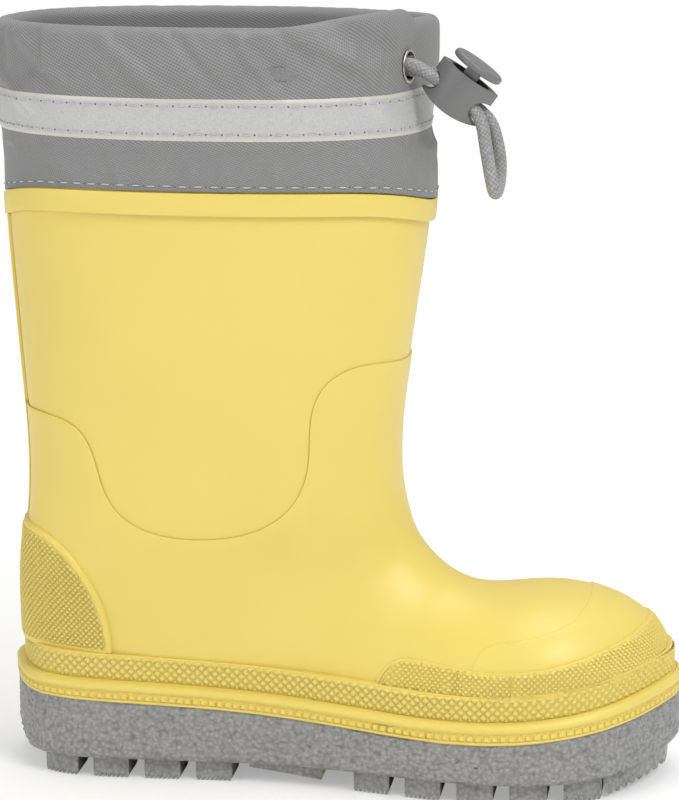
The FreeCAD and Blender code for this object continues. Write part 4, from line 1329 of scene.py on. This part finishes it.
class BOOT_OT_tape(bpy.types.Operator):
    """Lays the reflective tape round the cuff and sews it and the cuff's lower edge"""
    bl_idname = "boot.tape"
    bl_label = "Tape and stitches"

    def execute(self, context):
        colours, sizes = palette(), context.scene.boot_sizes
        face = CuffFace()
        low, high = TAPE_LOW[2] - CUFF_LOW[2], TAPE_HIGH[2] - CUFF_LOW[2]
        columns, rows = 360, 12

        def lay(u, v):
            points = np.empty((len(u), 3))
            for row in range(rows + 1):
                chosen = np.rint(v * rows) == row
                edge = min(row, rows - row)
                out = (0.05, 0.42)[edge > 0] * MM
                height = low + (high - low) * row / rows
                points[chosen] = face.place(u[chosen] % 1.0, height, out)[0]
            return points

        tape = grid("tape_band", columns, rows, lay, closed=True)
        modify(tape, "SOLIDIFY", thickness=0.35 * MM, offset=-1)
        smooth(tape, 60)
        clothe(tape, finish("tape", lambda: glass_bead_tape(
            colours["tape"], colours["tape_edge"], 0.36, high - low)))
        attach(tape, "boot")
        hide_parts("reflective_tape")
        thread = finish("thread", lambda: fibrous("sewing_thread", linear("bdbdb9"), 0.25, 0.7))
        # the needle holes are small dark ellipsoids: painted shade where the thread goes into the fabric
        hole = finish("hole", lambda: fibrous("needle_hole", linear("6c6e72"), 0.3))
        for node, height, out in (("tape_upper_stitch", high - 2 * MM, 0.62 * MM),
                                  ("tape_lower_stitch", low + 2 * MM, 0.62 * MM),
                                  ("cuff_hem_stitch", 2 * MM, 0.22 * MM)):
            self.seam(node, face, height, out, sizes, thread, hole)
        return {"FINISHED"}

    def seam(self, node, face, height, out, sizes, thread, hole):
        """A row of single stitches with a needle hole at each end, each hole a small dark ellipsoid of
        painted shade.
        """
        _, _, length = face.place([0.0], height, out)
        count = round(length / sizes.stitch_pitch)
        deselect()
        bpy.ops.mesh.primitive_uv_sphere_add(segments=6, ring_count=5, radius=1)
        model = bpy.context.view_layer.objects.active
        shape = read_points(model)
        faces = [tuple(p.vertices) for p in model.data.polygons]
        bpy.data.objects.remove(model)
        random.seed(node)
        stitches, holes, stitch_faces, hole_faces = [], [], [], []
        for k in range(count):
            share = k / count
            gap = 0.17 * sizes.stitch_pitch / length
            ends = face.place([share + gap, share + 1 / count - gap],
                              height + random.uniform(-0.12, 0.12) * MM,
                              out)[0]
            run = ends[1] - ends[0]
            long = np.linalg.norm(run)
            run /= long
            outward = np.cross(run, (0, 0, 1))
            up = np.cross(outward, run)
            size = np.array([long / 2, 0.2 * MM, 0.24 * MM])
            frame_of = np.array([run, outward, up])
            stitches.append((shape * size) @ frame_of + (ends[0] + ends[1]) / 2)
            stitch_faces += [tuple(i + k * len(shape) for i in f) for f in faces]
            # a dark ellipsoid at the needle hole: the hole's shade, painted
            spot = face.place([share], height, out - 0.22 * MM)[0][0]
            holes.append((shape * np.array([0.34, 0.14, 0.32]) * MM) @ frame_of + spot)
            hole_faces += [tuple(i + k * len(shape) for i in f) for f in faces]
        for name, points, corners, material in ((node + "es", stitches, stitch_faces, thread),
                                                (node + "_holes", holes, hole_faces, hole)):
            data = bpy.data.meshes.new(name)
            data.from_pydata(np.concatenate(points), [], corners)
            piece = bpy.data.objects.new(name, data)
            bpy.context.collection.objects.link(piece)
            smooth(piece, 80)
            clothe(piece, material)
            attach(piece, "boot")
            if material is thread:
                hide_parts(node)


# ---- eyelet and cord lock ----
class BOOT_OT_fittings(bpy.types.Operator):
    """Finishes the eyelet, its washer, the cord lock, its button and its spring"""
    bl_idname = "boot.fittings"
    bl_label = "Eyelet and cord lock"

    def execute(self, context):
        colours = palette()
        nickel = finish("nickel", lambda: plated_metal("nickel_plate", "c9c6bf", 0.22))
        plastic = finish("plastic", lambda: moulded_plastic(colours["lock"]))
        steel = finish("steel", lambda: plated_metal("spring_steel", "9a9a98", 0.3))
        for name, node, body, material, slot, width in (
                ("nickel_eyelet", "eyelet", "boot", nickel, "eyelet_metal", 0),
                ("cord_lock", "lock_body", "lock", plastic, "lock_plastic", 0.3),
                ("cord_lock_button", "lock_button", "button", plastic, "lock_plastic", 0.2)):
            piece = merged_copy(name, node)
            if width:
                modify(piece, "BEVEL", width=width * MM, segments=3, limit_method="ANGLE",
                       angle_limit=math.radians(40), use_clamp_overlap=True)
            smooth(piece, 40)
            clothe(piece, material)
            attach(piece, body)
            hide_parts(node)
        for node, material in (("eyelet_washer", nickel), ("lock_spring", steel)):
            NODES[node].data.materials.clear()
            NODES[node].data.materials.append(material)
        return {"FINISHED"}


# ---- inside of the boot ----
class BOOT_OT_inside(bpy.types.Operator):
    """Finishes the knitted lining and the felt insole"""
    bl_idname = "boot.inside"
    bl_label = "Lining and insole"

    def execute(self, context):
        for name, node, slot, code, fibre in (("knit_lining", "lining", "lining_cloth", "9c9c98", 0.7),
                                              ("felt_insole", "insole", "insole_felt", "6e6c68", 0.5)):
            piece = merged_copy(name, node)
            smooth(piece, 32)
            clothe(piece, finish(node, lambda n=name, c=code, f=fibre: fibrous(n, linear(c), f)))
            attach(piece, "boot")
            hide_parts(node)
        return {"FINISHED"}


OPERATORS = (
    BOOT_OT_stage, BOOT_OT_fittings, BOOT_OT_drawcord, BOOT_OT_rubber_shell, BOOT_OT_knurled_bands,
    BOOT_OT_welt, BOOT_OT_outsole, BOOT_OT_cuff, BOOT_OT_tape, BOOT_OT_inside)


class BOOT_PT_sidebar(bpy.types.Panel):
    """Lists the boot's pieces, sizes and colours"""
    bl_label = "Rain boot"
    bl_idname = "BOOT_PT_sidebar"
    bl_space_type = "VIEW_3D"
    bl_region_type = "UI"
    bl_category = "Rain boot"

    def draw(self, context):
        for group in (context.scene.boot_sizes, context.scene.boot_colours):
            for key in type(group).__annotations__:
                self.layout.prop(group, key)
        for operator in OPERATORS:
            self.layout.operator(operator.bl_idname)


CLASSES = (BootSizes, BootColours) + OPERATORS + (BOOT_PT_sidebar,)


def register():
    for cls in CLASSES:
        bpy.utils.register_class(cls)
    bpy.types.Scene.boot_sizes = bpy.props.PointerProperty(type=BootSizes)
    bpy.types.Scene.boot_colours = bpy.props.PointerProperty(type=BootColours)


def unregister():
    del bpy.types.Scene.boot_colours
    del bpy.types.Scene.boot_sizes
    for cls in reversed(CLASSES):
        bpy.utils.unregister_class(cls)


def main():
    register()
    bpy.ops.boot.stage()
    bpy.ops.boot.fittings()
    bpy.ops.boot.drawcord()
    bpy.ops.boot.rubber_shell()
    bpy.ops.boot.knurled_bands()
    bpy.ops.boot.welt()
    bpy.ops.boot.outsole()
    bpy.ops.boot.cuff()
    bpy.ops.boot.tape()
    bpy.ops.boot.inside()


if __name__ == "__main__":
    main()
